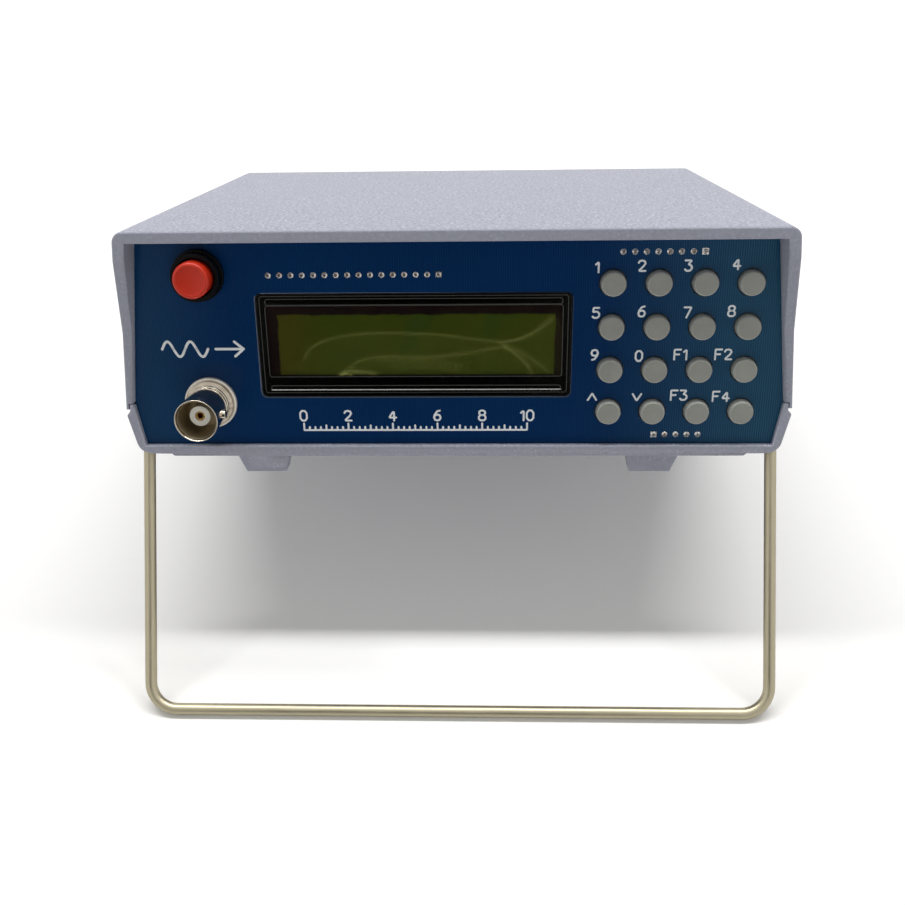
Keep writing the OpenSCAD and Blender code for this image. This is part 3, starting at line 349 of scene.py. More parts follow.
def masked_board():
    """Blue solder mask over a copper mesh, its ends painted paler as a painted reflection. The cut edges show
    the pale board.
    """
    finish = Finish("masked_board", Specular_IOR_Level=0.14)
    x, z = (finish.point.part(axis) for axis in "XZ")
    pitch = sizes().hatch / MM
    upright, level = (
        across.to_and_fro(pitch / 2).smooth(0.28 * pitch, 0.4 * pitch) for across in (x, z))
    mesh = upright.most(level * 0.28)
    drift = finish.noise(0.06, 3)
    mask = (mesh * 0.45 + 0.05 + (drift - 0.5) * 0.3).tones(colours().panel, 0.82, 1.5)
    # Painted reflection: towards both ends, the right one most, the mask is painted paler and greyer for the
    # sheen of bright surroundings
    ends = x.smooth(26, 76) * 0.9 + x.smooth(-48, -74) * 0.3
    painted_sheen = (mesh * 0.72 + 0.1).mix((0.003, 0.052, 0.112), (0.03, 0.115, 0.18))
    edge = finish.noise(2.2, 3).mix((0.2, 0.25, 0.34), (0.33, 0.39, 0.48))
    face = abs(finish.facing(FRONT)).smooth(0.55, 0.8)
    finish.bump(mesh * face, 0.01)
    return finish.set(
        Base_Color=face.mix(edge, ends.mix(mask, painted_sheen)),
        Roughness=0.62 - face * 0.38 + (drift - 0.5) * 0.08)


def print_ink():
    """White screen print, a little uneven."""
    finish = Finish("print_ink", Specular_IOR_Level=0.3)
    patch = finish.noise(3, 3)
    return finish.set(
        Base_Color=patch.tones(colours().ink, 0.9, 1), Roughness=0.55 + (patch - 0.5) * 0.2)


def plain_plastic(name, colour, roughness, grain=1.6, depth=0.012, specular=0.45):
    """Smooth moulded plastic with a faint grain."""
    finish = Finish(name, Specular_IOR_Level=specular)
    fine = finish.noise(grain, 3)
    broad = finish.noise(0.25)
    finish.bump(fine, depth)
    return finish.set(
        Base_Color=((fine - 0.5) * 0.5 + broad).tones(colour, 0.9, 1.1),
        Roughness=roughness + (broad - 0.5) * 0.12)


def key_plastic():
    """Grey key plastic, painted paler round its edge as a painted highlight, with a faint brushed face."""
    colour = colours().keys
    finish = Finish("key_grey")
    face = finish.facing(FRONT).smooth(0.8, 0.985)
    brushed = finish.noise(0.9, 3, finish.vector("MULTIPLY", finish.point, (0.5, 1, 4)))
    broad = finish.noise(0.22)
    body = ((brushed - 0.5) * 0.7 + broad).tones(colour, 0.86, 1.12)
    finish.bump(brushed, 0.006)
    # Painted highlight: the rounded edge round the face is painted lighter than the face
    return finish.set(
        Base_Color=face.mix(toned(colour, 1.32), body),
        Roughness=0.3 + face * 0.1 + (broad - 0.5) * 0.12)


def metal(name, colour, roughness, scale=1.2, depth=0.01):
    """Plated metal with faint tarnish and handling marks."""
    finish = Finish(name, Metallic=1.0)
    fine = finish.noise(scale * 4, 3)
    broad = finish.noise(scale, 3)
    finish.bump(fine, depth)
    return finish.set(
        Base_Color=broad.tones(colour, 0.8, 1.1),
        Roughness=roughness + (fine - 0.5) * 0.16 + (broad - 0.5) * 0.12)


def turned_nickel(axis):
    """Polished warm nickel with fine turning lines round an axis, dull and brown inside its bore. The
    flange's face is painted bright cream as a painted reflection, and the cone between barrel and flange
    darker, as painted shade.
    """
    finish = Finish("turned_nickel")
    y = finish.point.part("Y")
    rings = finish.noise(5.5, 3, finish.xyz(Y=y))
    broad = finish.noise(0.5)
    flat = finish.vector("MULTIPLY", finish.point, (1, 0, 1))
    radius = finish.vector("DISTANCE", flat, (axis.x, 0, axis.z), output="Value")
    bore = radius.smooth(4.45, 4.2)
    foot = y.smooth(-2.6, -2.2)
    flange = foot * radius.smooth(5.35, 5.5)
    barrel = broad.mix((0.56, 0.5, 0.4), (0.72, 0.66, 0.55))
    # Painted shade: the cone between barrel and flange is painted darker tan
    cone_painted_dark = broad.mix((0.22, 0.18, 0.135), (0.62, 0.55, 0.45))
    # Painted reflection: the flange's face is painted bright cream and made less metallic
    flange_painted_bright = broad.mix((0.86, 0.8, 0.68), (1.0, 0.97, 0.88))
    inside = rings.mix((0.29, 0.235, 0.145), (0.62, 0.54, 0.4))
    outside = flange.mix(foot.mix(barrel, cone_painted_dark), flange_painted_bright)
    finish.bump(rings * bore, 0.012)
    return finish.set(
        Base_Color=bore.mix(outside, inside), Metallic=1 - flange * 0.7,
        Roughness=0.16 + bore * 0.2 + flange * 0.06 + (broad - 0.5) * 0.1)


def drawn_wire():
    """Nickel wire with the lengthwise lines of its drawing."""
    finish = Finish("drawn_wire", Metallic=1.0)
    across = finish.vector("MULTIPLY", finish.mark("around", "Vector"), (900,) * 3)
    along = finish.mark("along")
    streak = finish.noise(1.6, 4, finish.vector("ADD", across, finish.xyz(Z=along * 12)))
    blotch = finish.noise(0.9, 3, finish.vector("ADD", across, finish.xyz(Z=along * 160)))
    finish.bump(streak, 0.03)
    return finish.set(
        Base_Color=(streak * 0.8 + blotch * 0.35).tones(colours().wire, 0.62, 1.15),
        Roughness=0.42 + (streak - 0.5) * 0.3 + (blotch - 0.5) * 0.15)


def solder():
    """Tin with patches of brown flux."""
    finish = Finish("soldered_tin", Metallic=0.9)
    lump = finish.noise(2.4)
    flux = finish.noise(0.6).smooth(0.52, 0.64)
    tin = lump.smooth(0.3, 0.7).tones((0.9, 0.88, 0.85), 0.55, 1)
    finish.bump(lump, 0.06)
    return finish.set(
        Base_Color=(flux * 0.45).mix(tin, (0.45, 0.24, 0.13)), Roughness=0.24 + (lump - 0.5) * 0.25)


def screen_glass(low, high):
    """The display's glass: an olive field inside a dark border, in the frame's window. The dark band along
    the top is painted shadow from the frame's upper edge.
    """
    finish = Finish("screen_glass", Specular_IOR_Level=0.25, Roughness=0.1)
    x, z = (finish.point.part(axis) for axis in "XZ")
    drift = finish.noise(0.09)
    ragged = (finish.noise(0.35) - 0.5) * 0.8
    left = (x - low.x + ragged).smooth(2.1, 2.7)
    right = (high.x - x + ragged).smooth(1.3, 1.8)
    # Painted shadow: the band along the top stands for the frame's upper edge shading the glass
    top = (high.z - z + ragged).smooth(1.8, 2.4)
    bottom = (z - low.z).smooth(0.1, 0.4)
    olive = drift.tones(colours().screen, 0.85, 1.15)
    olive = ((x - low.x).smooth(14, 3) * 0.5).mix(olive, (0.074, 0.054, 0.0095))
    patch = finish.noise(0.075).smooth(0.5, 0.68)
    olive = (patch * 0.5).mix(olive, (0.026, 0.059, 0.012))
    border_and_frame_shadow = drift.mix((0.006, 0.0045, 0.004), (0.02, 0.012, 0.011))
    return finish.set(Base_Color=(left * right * top * bottom).mix(border_and_frame_shadow, olive))


def cover_film():
    """The display's loose protective film, clear but for its creases, which are painted pale: partly milky
    haze, partly painted highlights of light on the folds.
    """
    finish = Finish("cover_film", Roughness=0.3, Specular_IOR_Level=0.2)
    fine = finish.noise(0.9, 3)
    return finish.set(
        Base_Color=fine.mix((0.43, 0.47, 0.1), (0.56, 0.58, 0.18)),
        Alpha=finish.mark("haze") * (0.8 + (fine - 0.5) * 0.5))


def board_laminate():
    """Green laminate of the inner boards, with its tracks."""
    finish = Finish("board_laminate", Specular_IOR_Level=0.45)
    track = finish.node(
        "TexVoronoi", distance="MANHATTAN", feature="F1", output="Distance", Vector=finish.point, Scale=0.22)
    lines = abs(track - 0.45).smooth(0.05, 0.08)
    finish.bump(1 - lines, 0.02)
    return finish.set(
        Base_Color=lines.mix((0.03, 0.2, 0.09), (0.015, 0.11, 0.045)),
        Roughness=0.4 + (finish.noise(2) - 0.5) * 0.15)


def add_object(name, data):
    """Links a new object to the scene, with its data under the same name."""
    data.name = name
    obj = bpy.data.objects.new(name, data)
    bpy.context.scene.collection.objects.link(obj)
    return obj


def paint(mesh, finish):
    """Gives a mesh its one finish."""
    mesh.materials.clear()
    mesh.materials.append(finish)


def paint_solids(names, finish):
    """Gives solids that stay their finish."""
    for node in names.split():
        paint(solid(node), finish)


def add_print(name, mesh):
    """Links a finished mesh as a piece that rides on the case."""
    obj = add_object(name, mesh)
    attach(obj, "case")


def stand_in(node, suffix, mesh):
    """Links a finished mesh as a piece that stands for a node and rides on its body."""
    obj = add_object(f"{node}_{suffix}", mesh)
    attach(obj, frame["nodes"][node]["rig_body"])
    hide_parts(node)


def evaluated(obj):
    """An object's mesh with its modifiers applied, in place of the object."""
    depsgraph = bpy.context.evaluated_depsgraph_get()
    mesh = bpy.data.meshes.new_from_object(obj.evaluated_get(depsgraph), depsgraph=depsgraph)
    bpy.data.objects.remove(obj)
    return mesh


def raw_mesh(points, edges=(), faces=(), **marks):
    """A mesh of points, edges and faces, with (kind, values) marks kept on its points."""
    mesh = bpy.data.meshes.new("raw")
    mesh.from_pydata(points, edges, faces)
    for mark, (kind, values) in marks.items():
        mesh.attributes.new(mark, kind, "POINT").data.foreach_set("value", values)
    return mesh


def as_mesh(form):
    """The mesh of a finished form."""
    mesh = bpy.data.meshes.new("form")
    form.to_mesh(mesh)
    form.free()
    return mesh


def has_room(tree, loop, room):
    """Whether the face beside an edge reaches that far in from it."""
    start, end, face = loop.vert.co, loop.link_loop_next.vert.co, loop.face
    inward = face.normal.cross((end - start).normalized()) * room
    touching, same_way = 0.01 * MM, 0.9
    for share in (0.1, 0.5, 0.9):
        _, normal, _, gap = tree.find_nearest(start.lerp(end, share) + inward)
        if gap > touching or normal.dot(face.normal) < same_way:
            return False
    return True


def ease(form, width, segments, shortest, reach):
    """Rounds the outer edges that have room for it, as far back as reach in the case frame."""
    tree = BVHTree.FromBMesh(form)
    corner, elbow = math.radians(32), 1.3 * width
    chosen = {
        edge for edge in form.edges
        if edge.is_manifold and edge.is_convex and edge.calc_face_angle(0) > corner
        and edge.calc_length() > shortest and (FROM_WORLD @ edge.verts[0].co).y < reach
        and all(has_room(tree, loop, 2 * width) for loop in edge.link_loops)}
    tight = chosen
    while tight:
        tight = {edge for edge in chosen for vert in edge.verts
                 if any(e not in chosen and e.calc_length() < elbow for e in vert.link_edges)}
        chosen -= tight
    bmesh.ops.bevel(
        form, geom=list(chosen), offset=width, offset_type="OFFSET", segments=segments, profile=0.5,
        affect="EDGES", clamp_overlap=False, loop_slide=True, material=-1)


def settled(mesh, finish):
    """A smoothly shaded mesh whose flat faces stay flat beside their rounded edges."""
    crease = math.radians(50)
    mesh.shade_smooth()
    mesh.set_sharp_from_angle(angle=crease)
    rough = add_object("rough", mesh)
    rough.modifiers.new("flat_faces", "WEIGHTED_NORMAL").keep_sharp = True
    done = evaluated(rough)
    paint(done, finish)
    return done


def dress(node, finish, edge, segments=2, shortest=0, reach=math.inf):
    """Stands a welded copy of a solid in for it, with edges eased by a width in millimetres."""
    weld, flat = 0.03 * MM, math.radians(0.6)
    form = bmesh.new()
    form.from_mesh(solid(node))
    bmesh.ops.remove_doubles(form, verts=form.verts, dist=weld)
    bmesh.ops.dissolve_limit(form, angle_limit=flat, verts=form.verts, edges=form.edges)
    if edge:
        ease(form, edge * MM, segments, shortest * MM, reach)
    stand_in(node, "finished", settled(as_mesh(form), finish))


def dots(text):
    """Points written as x,y pairs."""
    return [tuple(map(float, pair.split(","))) for pair in text.split()]


def lathe(profile, steps):
    """A mesh turned about the y axis from points (radius, y), closed at its poles or its first point."""
    form = bmesh.new()
    turns = [2 * math.pi * i / steps for i in range(steps)]
    rings = []
    for radius, y in profile:
        around = turns if radius else [0]
        rings.append([form.verts.new((radius * math.cos(a), y, radius * math.sin(a))) for a in around])
    if profile[0][0]:
        rings.append(rings[0])
    for first, second in zip(rings, rings[1:]):
        for i in range(steps):
            around = [first[i % len(first)], first[(i + 1) % len(first)],
                      second[(i + 1) % len(second)], second[i % len(second)]]
            form.faces.new(list(dict.fromkeys(around)))
    bmesh.ops.recalc_face_normals(form, faces=form.faces)
    return as_mesh(form)


def joined(meshes):
    """One mesh of several."""
    form = bmesh.new()
    for mesh in meshes:
        form.from_mesh(mesh)
    return as_mesh(form)


def polylines(lines):
    """A mesh of lines. One that ends on its first point is closed."""
    points, edges = [], []
    for line in lines:
        start = len(points)
        closed = line[0] == line[-1]
        points += [(x, y, 0) for x, y in (line[:-1] if closed else line)]
        edges += [(i, i + 1) for i in range(start, len(points) - 1)]
        if closed:
            edges.append((len(points) - 1, start))
    return raw_mesh(points, edges)


class Shape(Tree):
    """A Geometry Nodes tree with named inputs, run once on a mesh."""

    family = "GeometryNode"

    def __init__(self, name):
        super().__init__(bpy.data.node_groups.new(name, "GeometryNodeTree"))
        self.values = {}
        for way in ("INPUT", "OUTPUT"):
            self.tree.interface.new_socket("Geometry", in_out=way, socket_type="NodeSocketGeometry")
        self.entry = self.tree.nodes.new("NodeGroupInput")
        self.exit = self.tree.nodes.new("NodeGroupOutput")

    def take(self, name, value):
        """A named input of the tree and its value, a number or a finish."""
        kind = "Material" if isinstance(value, bpy.types.Material) else "Float"
        socket = self.tree.interface.new_socket(name, in_out="INPUT", socket_type="NodeSocket" + kind)
        self.values[socket.identifier] = value
        return Wire(self, pick(self.entry.outputs, socket.identifier))

    def start(self):
        """The mesh that the tree is run on."""
        return Wire(self, self.entry.outputs[0])

    def bent(self, count, radius):
        """The base's lines with their corners rounded in that many steps."""
        return self.node(
            "FilletCurve", mode="POLY", Curve=self.node("MeshToCurve", Mesh=self.start()), Count=count,
            Radius=radius, Limit_Radius=True)

    def tube(self, curve, profile):
        """A closed tube along a curve."""
        return self.node("CurveToMesh", Curve=curve, Profile_Curve=profile, Fill_Caps=True)

    def real(self, *forms):
        """Forms joined and made real."""
        return self.node("RealizeInstances", Geometry=self.node("JoinGeometry", Geometry=list(forms)))

    def coated(self, form, finish):
        """A form with its finish."""
        return self.node("SetMaterial", Geometry=form, Material=finish)

    def run(self, base, result):
        """Ends the tree in that result and returns the plain mesh it makes from the base."""
        self.tree.links.new(result.socket, self.exit.inputs[0])
        obj = add_object("base", base)
        modifier = obj.modifiers.new("shape", "NODES")
        modifier.node_group = self.tree
        for identifier, value in self.values.items():
            modifier[identifier] = value
        mesh = evaluated(obj)
        if not mesh.polygons:
            raise ValueError(f"{self.tree.name} made no faces")
        return mesh


def stroke_shape(lines, name, width, bend, ink, finish):
    """Round-ended flat strokes along lines, in millimetres."""
    shape = Shape(name)
    half = shape.take("Half Width", width / 2)
    radius = shape.take("Bend Radius", bend)
    height = shape.take("Ink Height", ink)
    coating = shape.take("Finish", finish)
    bent = shape.bent(4, radius)
    bands = shape.tube(bent, shape.node("CurvePrimitiveCircle", Resolution=8, Radius=half))
    ball = shape.node("MeshUVSphere", Segments=10, Rings=6, Radius=half)
    tips = shape.node("CurveEndpointSelection")
    ends = shape.node("InstanceOnPoints", Points=bent, Instance=ball, Selection=tips)
    flat = shape.xyz(X=1.0, Y=1.0, Z=height / half)
    pressed = shape.node("Transform", Geometry=shape.real(bands, ends), Scale=flat)
    return shape.run(polylines(lines), shape.coated(pressed, coating))


def pin_shape(points, name, pad, tin, crater, pin_half, tail):
    """Soldered header pins along z, in millimetres, from points that say if their pad is square."""
    shape = Shape(name)
    radius = shape.take("Pad Radius", pad)
    width = shape.take("Pin Half Width", pin_half) * 2
    depth = shape.take("Pin Length", tail)
    coating = shape.take("Solder", tin)
    dark = shape.take("Crater", crater)

    def raised(form, z, finish=coating):
        """A finished form lifted along z."""
        return shape.coated(shape.node("Transform", Geometry=form, Translation=shape.xyz(Z=z)), finish)

    def frustum(low, high, depth):
        """A short cone, its foot at z 0."""
        return shape.node(
            "MeshCone", Vertices=18, Radius_Bottom=radius * low, Radius_Top=radius * high, Depth=depth)

    def block(side, height):
        """A square block about the origin."""
        return shape.node("MeshCube", Size=shape.xyz(X=side, Y=side, Z=height))

    skirt = raised(frustum(0.86, 0.52, 0.2), 0.05)
    neck = raised(frustum(0.52, 0.42, 0.2), 0.25)
    # Painted shade: a near-black disc on each joint's top stands for the shade in its crater
    painted_crater_shade = raised(frustum(0.34, 0.3, 0.02), 0.44, dark)
    disc = raised(frustum(1.0, 0.94, 0.05), 0.0)
    plate = raised(block(radius * 2, 0.05), 0.025)
    bar = raised(block(width, depth), depth * -0.5)
    common = shape.node("JoinGeometry", Geometry=[skirt, neck, painted_crater_shade, bar])
    square = shape.node("InputNamedAttribute", data_type="BOOLEAN", Name="square")
    loose = shape.node("FunctionNodeBooleanMath", square, operation="NOT")
    pins = shape.real(*(
        shape.node("InstanceOnPoints", Points=shape.start(), Instance=form, Selection=where)
        for form, where in ((common, True), (plate, square), (disc, loose))))
    flags = [flag for _, _, flag in points]
    return shape.run(raw_mesh([(x, y, 0) for x, y, _ in points], square=("BOOLEAN", flags)), pins)


def wire_shape(path, bends, radius, finish):
    """A bent round wire along a path of the row frame, with its bend radii."""
    shape = Shape("tilt_bail_wire")
    thick = shape.take("Wire Radius", radius)
    coating = shape.take("Finish", finish)

    def marked(form, kind, name, value):
        """A form with a value kept on its points."""
        return shape.node(
            "StoreNamedAttribute", data_type=kind, domain="POINT", Geometry=form, Name=name, Value=value)

    bend = shape.node("InputNamedAttribute", data_type="FLOAT", Name="bend")
    fine = shape.node("SubdivideCurve", Curve=shape.bent(10, bend), Cuts=3)
    along = marked(fine, "FLOAT", "along", shape.node("SplineParameter", output="Length"))
    rim = shape.node("CurvePrimitiveCircle", Resolution=32, Radius=thick)
    around = marked(rim, "FLOAT_VECTOR", "around", shape.node("InputPosition"))
    smooth = shape.node("SetShadeSmooth", Geometry=shape.tube(along, around), Shade_Smooth=True)
    edges = [(i, i + 1) for i in range(len(path) - 1)]
    return shape.run(raw_mesh(path, edges, bend=("FLOAT", bends)), shape.coated(shape.real(smooth), coating))


# Each character's strokes on a cell one high. A stroke that ends on its first point is closed
GLYPHS = {
    "0": ["0,.25 0,.75 .18,1 .46,1 .64,.75 .64,.25 .46,0 .18,0 0,.25"],
    "1": [".1,.76 .36,1 .36,0"],
    "2": ["0,.78 .1,.95 .32,1 .56,.93 .64,.72 .5,.48 0,0 .66,0"],
    "3": [".02,1 .62,1 .28,.6 .5,.57 .64,.4 .64,.2 .48,.02 .16,0 0,.14"],
    "4": [".48,0 .48,1 0,.3 .68,.3"],
    "5": [".6,1 .08,1 .03,.56 .2,.63 .46,.61 .63,.42 .63,.2 .47,.02 .16,0 0,.13"],
    "6": [".56,1 .32,.94 .08,.6 0,.32 .1,.06 .32,0 .54,.06 .64,.3 .54,.54 .32,.6 .1,.52 0,.32"],
    "7": ["0,1 .66,1 .22,0"],
    "8": [".18,.54 .04,.68 .04,.88 .2,1 .44,1 .6,.88 .6,.68 .46,.54 .18,.54",
          ".16,.54 0,.38 0,.14 .16,0 .48,0 .64,.14 .64,.38 .48,.54 .16,.54"],
    "9": [".08,0 .32,.06 .56,.4 .64,.68 .54,.94 .32,1 .1,.94 0,.7 .1,.46 .32,.4 .54,.48 .64,.68"],
    "F": ["0,0 0,1 .62,1", "0,.52 .46,.52"],
    "up": ["0,.15 .42,.85 .84,.15"],
    "down": ["0,.85 .42,.15 .84,.85"],
}


def glyph_lines(text, height):
    """A label's strokes in millimetres, from its lower left corner, and its width."""
    gap = 0.3 * height
    lines, left = [], 0.0
    for cell in [text] if text in GLYPHS else text:
        strokes = [dots(stroke) for stroke in GLYPHS[cell]]
        places = [x for points in strokes for x, _ in points]
        low, high = min(places), max(places)
        lines += [[((x - low) * height + left, y * height) for x, y in points] for points in strokes]
        left += (high - low) * height + gap
    return lines, left - gap


def moved(lines, x, y):
    """Strokes moved by x and y."""
    return [[(px + x, py + y) for px, py in points] for points in lines]


def key_legends():
    """The labels at the upper left of each key, moved off its hole."""
    size = sizes()
    clearance, step = 0.1, 0.05
    lines = []
    for node, text in KEY_LABELS.items():
        low, high = span(node)
        centre = (low + high) / 2
        reach = (high.x - low.x) / 2 + size.stroke / MM / 2 + clearance
        label, across = glyph_lines(text, size.legend_height / MM)
        shift = LABEL_SHIFTS.get(node, (0, 0))
        x, z = LABEL_PLACE[0] - across + shift[0], LABEL_PLACE[1] + shift[1]
        while min(math.hypot(px + x, py + z) for points in label for px, py in points) < reach:
            x -= step
        lines += moved(label, centre.x + x, centre.z + z)
    return lines


def output_sign():
    """A wave of two turns and an arrow, above the socket."""
    z, left, right, rise = 23.66, -67.16, -48.36, 1.8
    width, tail, barb = 10.6, 12.4, 1.7
    wave = [(left + width * i / 40, z + rise * math.sin(2 * math.pi * i / 20)) for i in range(41)]
    head = [(right - 2, z + barb), (right, z), (right - 2, z - barb)]
    return [wave, [(left + tail, z), (right, z)], head]


def ruled_scale():
    """A plain numbered scale below the display."""
    left, right, floor = -35.6, 16.6, 3.95
    number_height, number_rise = 2.4, 2.35
    lines = [[(left, floor), (right, floor)]]
    for i in range(41):
        x = left + (right - left) * i / 40
        rise = 1.6 if i % 8 == 0 else 1.15 if i % 4 == 0 else 0.75
        lines.append([(x, floor), (x, floor + rise)])
    for i in range(6):
        label, across = glyph_lines(str(2 * i), number_height)
        lines += moved(label, left + (right - left) * i / 5 - across / 2, floor + number_rise)
    return lines


# The display frame's window, inset from the frame's box: left, right, bottom and top
WINDOW = (2.1, 2.1, 4.8, 2.9)
# The film's creases on the window's unit square, with their widths in millimetres and the strengths of their
# pale haze and painted highlights
FOLD = """
    .12,.24 .137,.37 .184,.494 .259,.576 .382,.617 .514,.605 .608,.576
    .703,.523 .774,.494 .835,.502 .891,.576 .939,.7 .972,.823"""
CREASES = [
    (FOLD, 0.4, 0.17),
    (".79,.47 .862,.535 .92,.68 .958,.84", 0.4, 0.12),
    (".25,.04 .297,.185 .344,.255 .42,.276 .514,.267 .608,.288 .684,.329 .75,.383 .807,.42", 0.45, 0.15),
    (".807,.42 .844,.309 .882,.165 .901,.02", 0.5, 0.17),
    (".816,.41 .873,.309 .929,.144 .953,.06", 0.5, 0.13),
    (".382,.226 .561,.206 .656,.144", 0.6, 0.08),
    (".42,.144 .57,.123 .66,.05", 0.6, 0.06),
    (".24,.015 .27,.055 .31,.06 .36,.03", 0.55, 0.3),
    (".245,.01 .262,.025 .28,.012", 0.3, 0.5),
]


def smooth_line(text, steps=10):
    """Points along a smooth line through the written ones."""
    points = dots(text)
    ends = np.array([points[0], *points, points[-1]])
    t = np.linspace(0, 1, steps, endpoint=False)[:, None]
    runs = [
        b + t / 2 * (c - a + t * (2 * a - 5 * b + 4 * c - d + t * (3 * (b - c) + d - a)))
        for a, b, c, d in zip(ends, ends[1:], ends[2:], ends[3:])]
    return np.vstack([*runs, ends[-1]])


def off_line(x, z, line):
    """How far points lie from a line of straight runs."""
    best = np.full(x.shape, np.inf)
    for (ax, az), (bx, bz) in zip(line, line[1:]):
        run = (bx - ax) ** 2 + (bz - az) ** 2
        t = np.clip(((x - ax) * (bx - ax) + (z - az) * (bz - az)) / run, 0, 1)
        best = np.minimum(best, np.hypot(x - ax - t * (bx - ax), z - az - t * (bz - az)))
    return best


def film_mesh(low, high):
    """The display's creased film as a grid in the case frame, its haze and painted highlights kept on its
    points.
    """
    across, up = 250, 70
    gap, crease_height = 0.05, 0.12
    veil, soft, fade = 0.03, 0.05, 0.2
    wide, tall = high.x - low.x, high.z - low.z
    u, v = [part.ravel() for part in np.meshgrid(np.linspace(0, 1, across + 1), np.linspace(0, 1, up + 1))]
    x, z = u * wide, v * tall
    fold = smooth_line(FOLD)
    slack = np.clip((np.interp(u, fold[:, 0], fold[:, 1]) - v) / soft, 0, 1)
    # Painted sheen: below the long fold the film is painted a little paler
    haze = veil * slack * np.clip(u / fade, 0, 1)
    lift = np.zeros_like(u)
    for crease, width, strength in CREASES:
        mark = np.exp(-(off_line(x, z, smooth_line(crease) * (wide, tall)) / width) ** 2)
        haze += mark * strength
        lift = np.maximum(lift, mark)
    points = np.column_stack([low.x + x, low.y - gap - crease_height * lift, low.z + z])
    first = (np.arange(up)[:, None] * (across + 1) + np.arange(across)).ravel()
    faces = np.column_stack([first, first + 1, first + across + 2, first + across + 1])
    mesh = raw_mesh(points.tolist(), (), faces.tolist(), haze=("FLOAT", haze))
    mesh.transform(CASE)
    mesh.shade_smooth()
    return mesh


# The output socket's turned outline, as radius and distance behind its mouth, round from its bore
SOCKET = dots("""
    4.15,1 4.42,.5 4.6,.14 4.66,.04 4.72,0 4.77,0 4.83,.04 4.85,.12 4.85,3.88 4.82,3.97 4.65,4 4.65,8.66
    4.62,8.7 4.35,8.74 4.35,9.46 4.62,9.5 4.65,9.54 4.65,10.06 4.62,10.1 4.35,10.14 4.35,10.86 4.62,10.9
    4.65,10.94 4.65,11.5 5.37,12.1 5.37,12.81 5.41,12.85 5.55,12.85 5.57,12.81 5.6,12.75 5.68,12.7
    5.78,12.71 5.9,12.78 6,12.9 6.07,13.05 6.1,13.22 6.1,13.66 6.06,13.7 4.6,13.7 4.6,24.2 4.5,24.3
    2.35,24.3 2.35,9.4 4.15,9.4""")
# One of its two bayonet lugs, as radius and distance from the socket's axis, and how far behind the mouth
LUG = dots("0,4.5 1,4.5 1,5.43 .96,5.5 .88,5.55 0,5.55")
LUG_BACK = 5
# The button's dished face, as distances in from its side and back from its front
BUTTON_FACE = dots("1.1,.12 .95,.09 .82,.02 .7,0 .55,.02 .3,.14 .1,.36 0,.7")


class INSTRUMENT_OT_case(bpy.types.Operator):
    """Finish the moulded case, its rear panel and its screws"""

    bl_idname = "instrument.case"
    bl_label = "Case"

    def execute(self, context):
        plastic = moulded_plastic("moulded_grey", colours().shell)
        edge = sizes().case_edge / MM
        dress("top_cover", plastic, edge, segments=3)
        dress("bottom_shell", plastic, 0.8 * edge, segments=3, shortest=0.5)
        dress("rear_panel", moulded_plastic("moulded_dark", (0.05, 0.05, 0.056)), 0.15)
        dress("case_screws", metal("screw_steel", (0.56, 0.55, 0.53), 0.32), 0.08)
        return {"FINISHED"}


class INSTRUMENT_OT_panel_board(bpy.types.Operator):
    """Finish the blue panel board and print its legends"""

    bl_idname = "instrument.panel_board"
    bl_label = "Panel board"

    def execute(self, context):
        size = sizes()
        dress("front_panel", masked_board(), 0.15, shortest=0.5, reach=0.5)
        ink = print_ink()
        legend_bend, sign_bend = 0.14, 0.3
        prints = {
            "key_legends": (key_legends(), size.stroke, legend_bend),
            "output_sign": (output_sign(), size.sign_stroke, sign_bend),
            "ruled_scale": (ruled_scale(), size.stroke, legend_bend),
        }
        for name, (lines, stroke, bend) in prints.items():
            mesh = stroke_shape(lines, name, stroke / MM, bend, size.ink / MM, ink)
            mesh.transform(ON_PANEL)
            add_print(name, mesh)
        return {"FINISHED"}


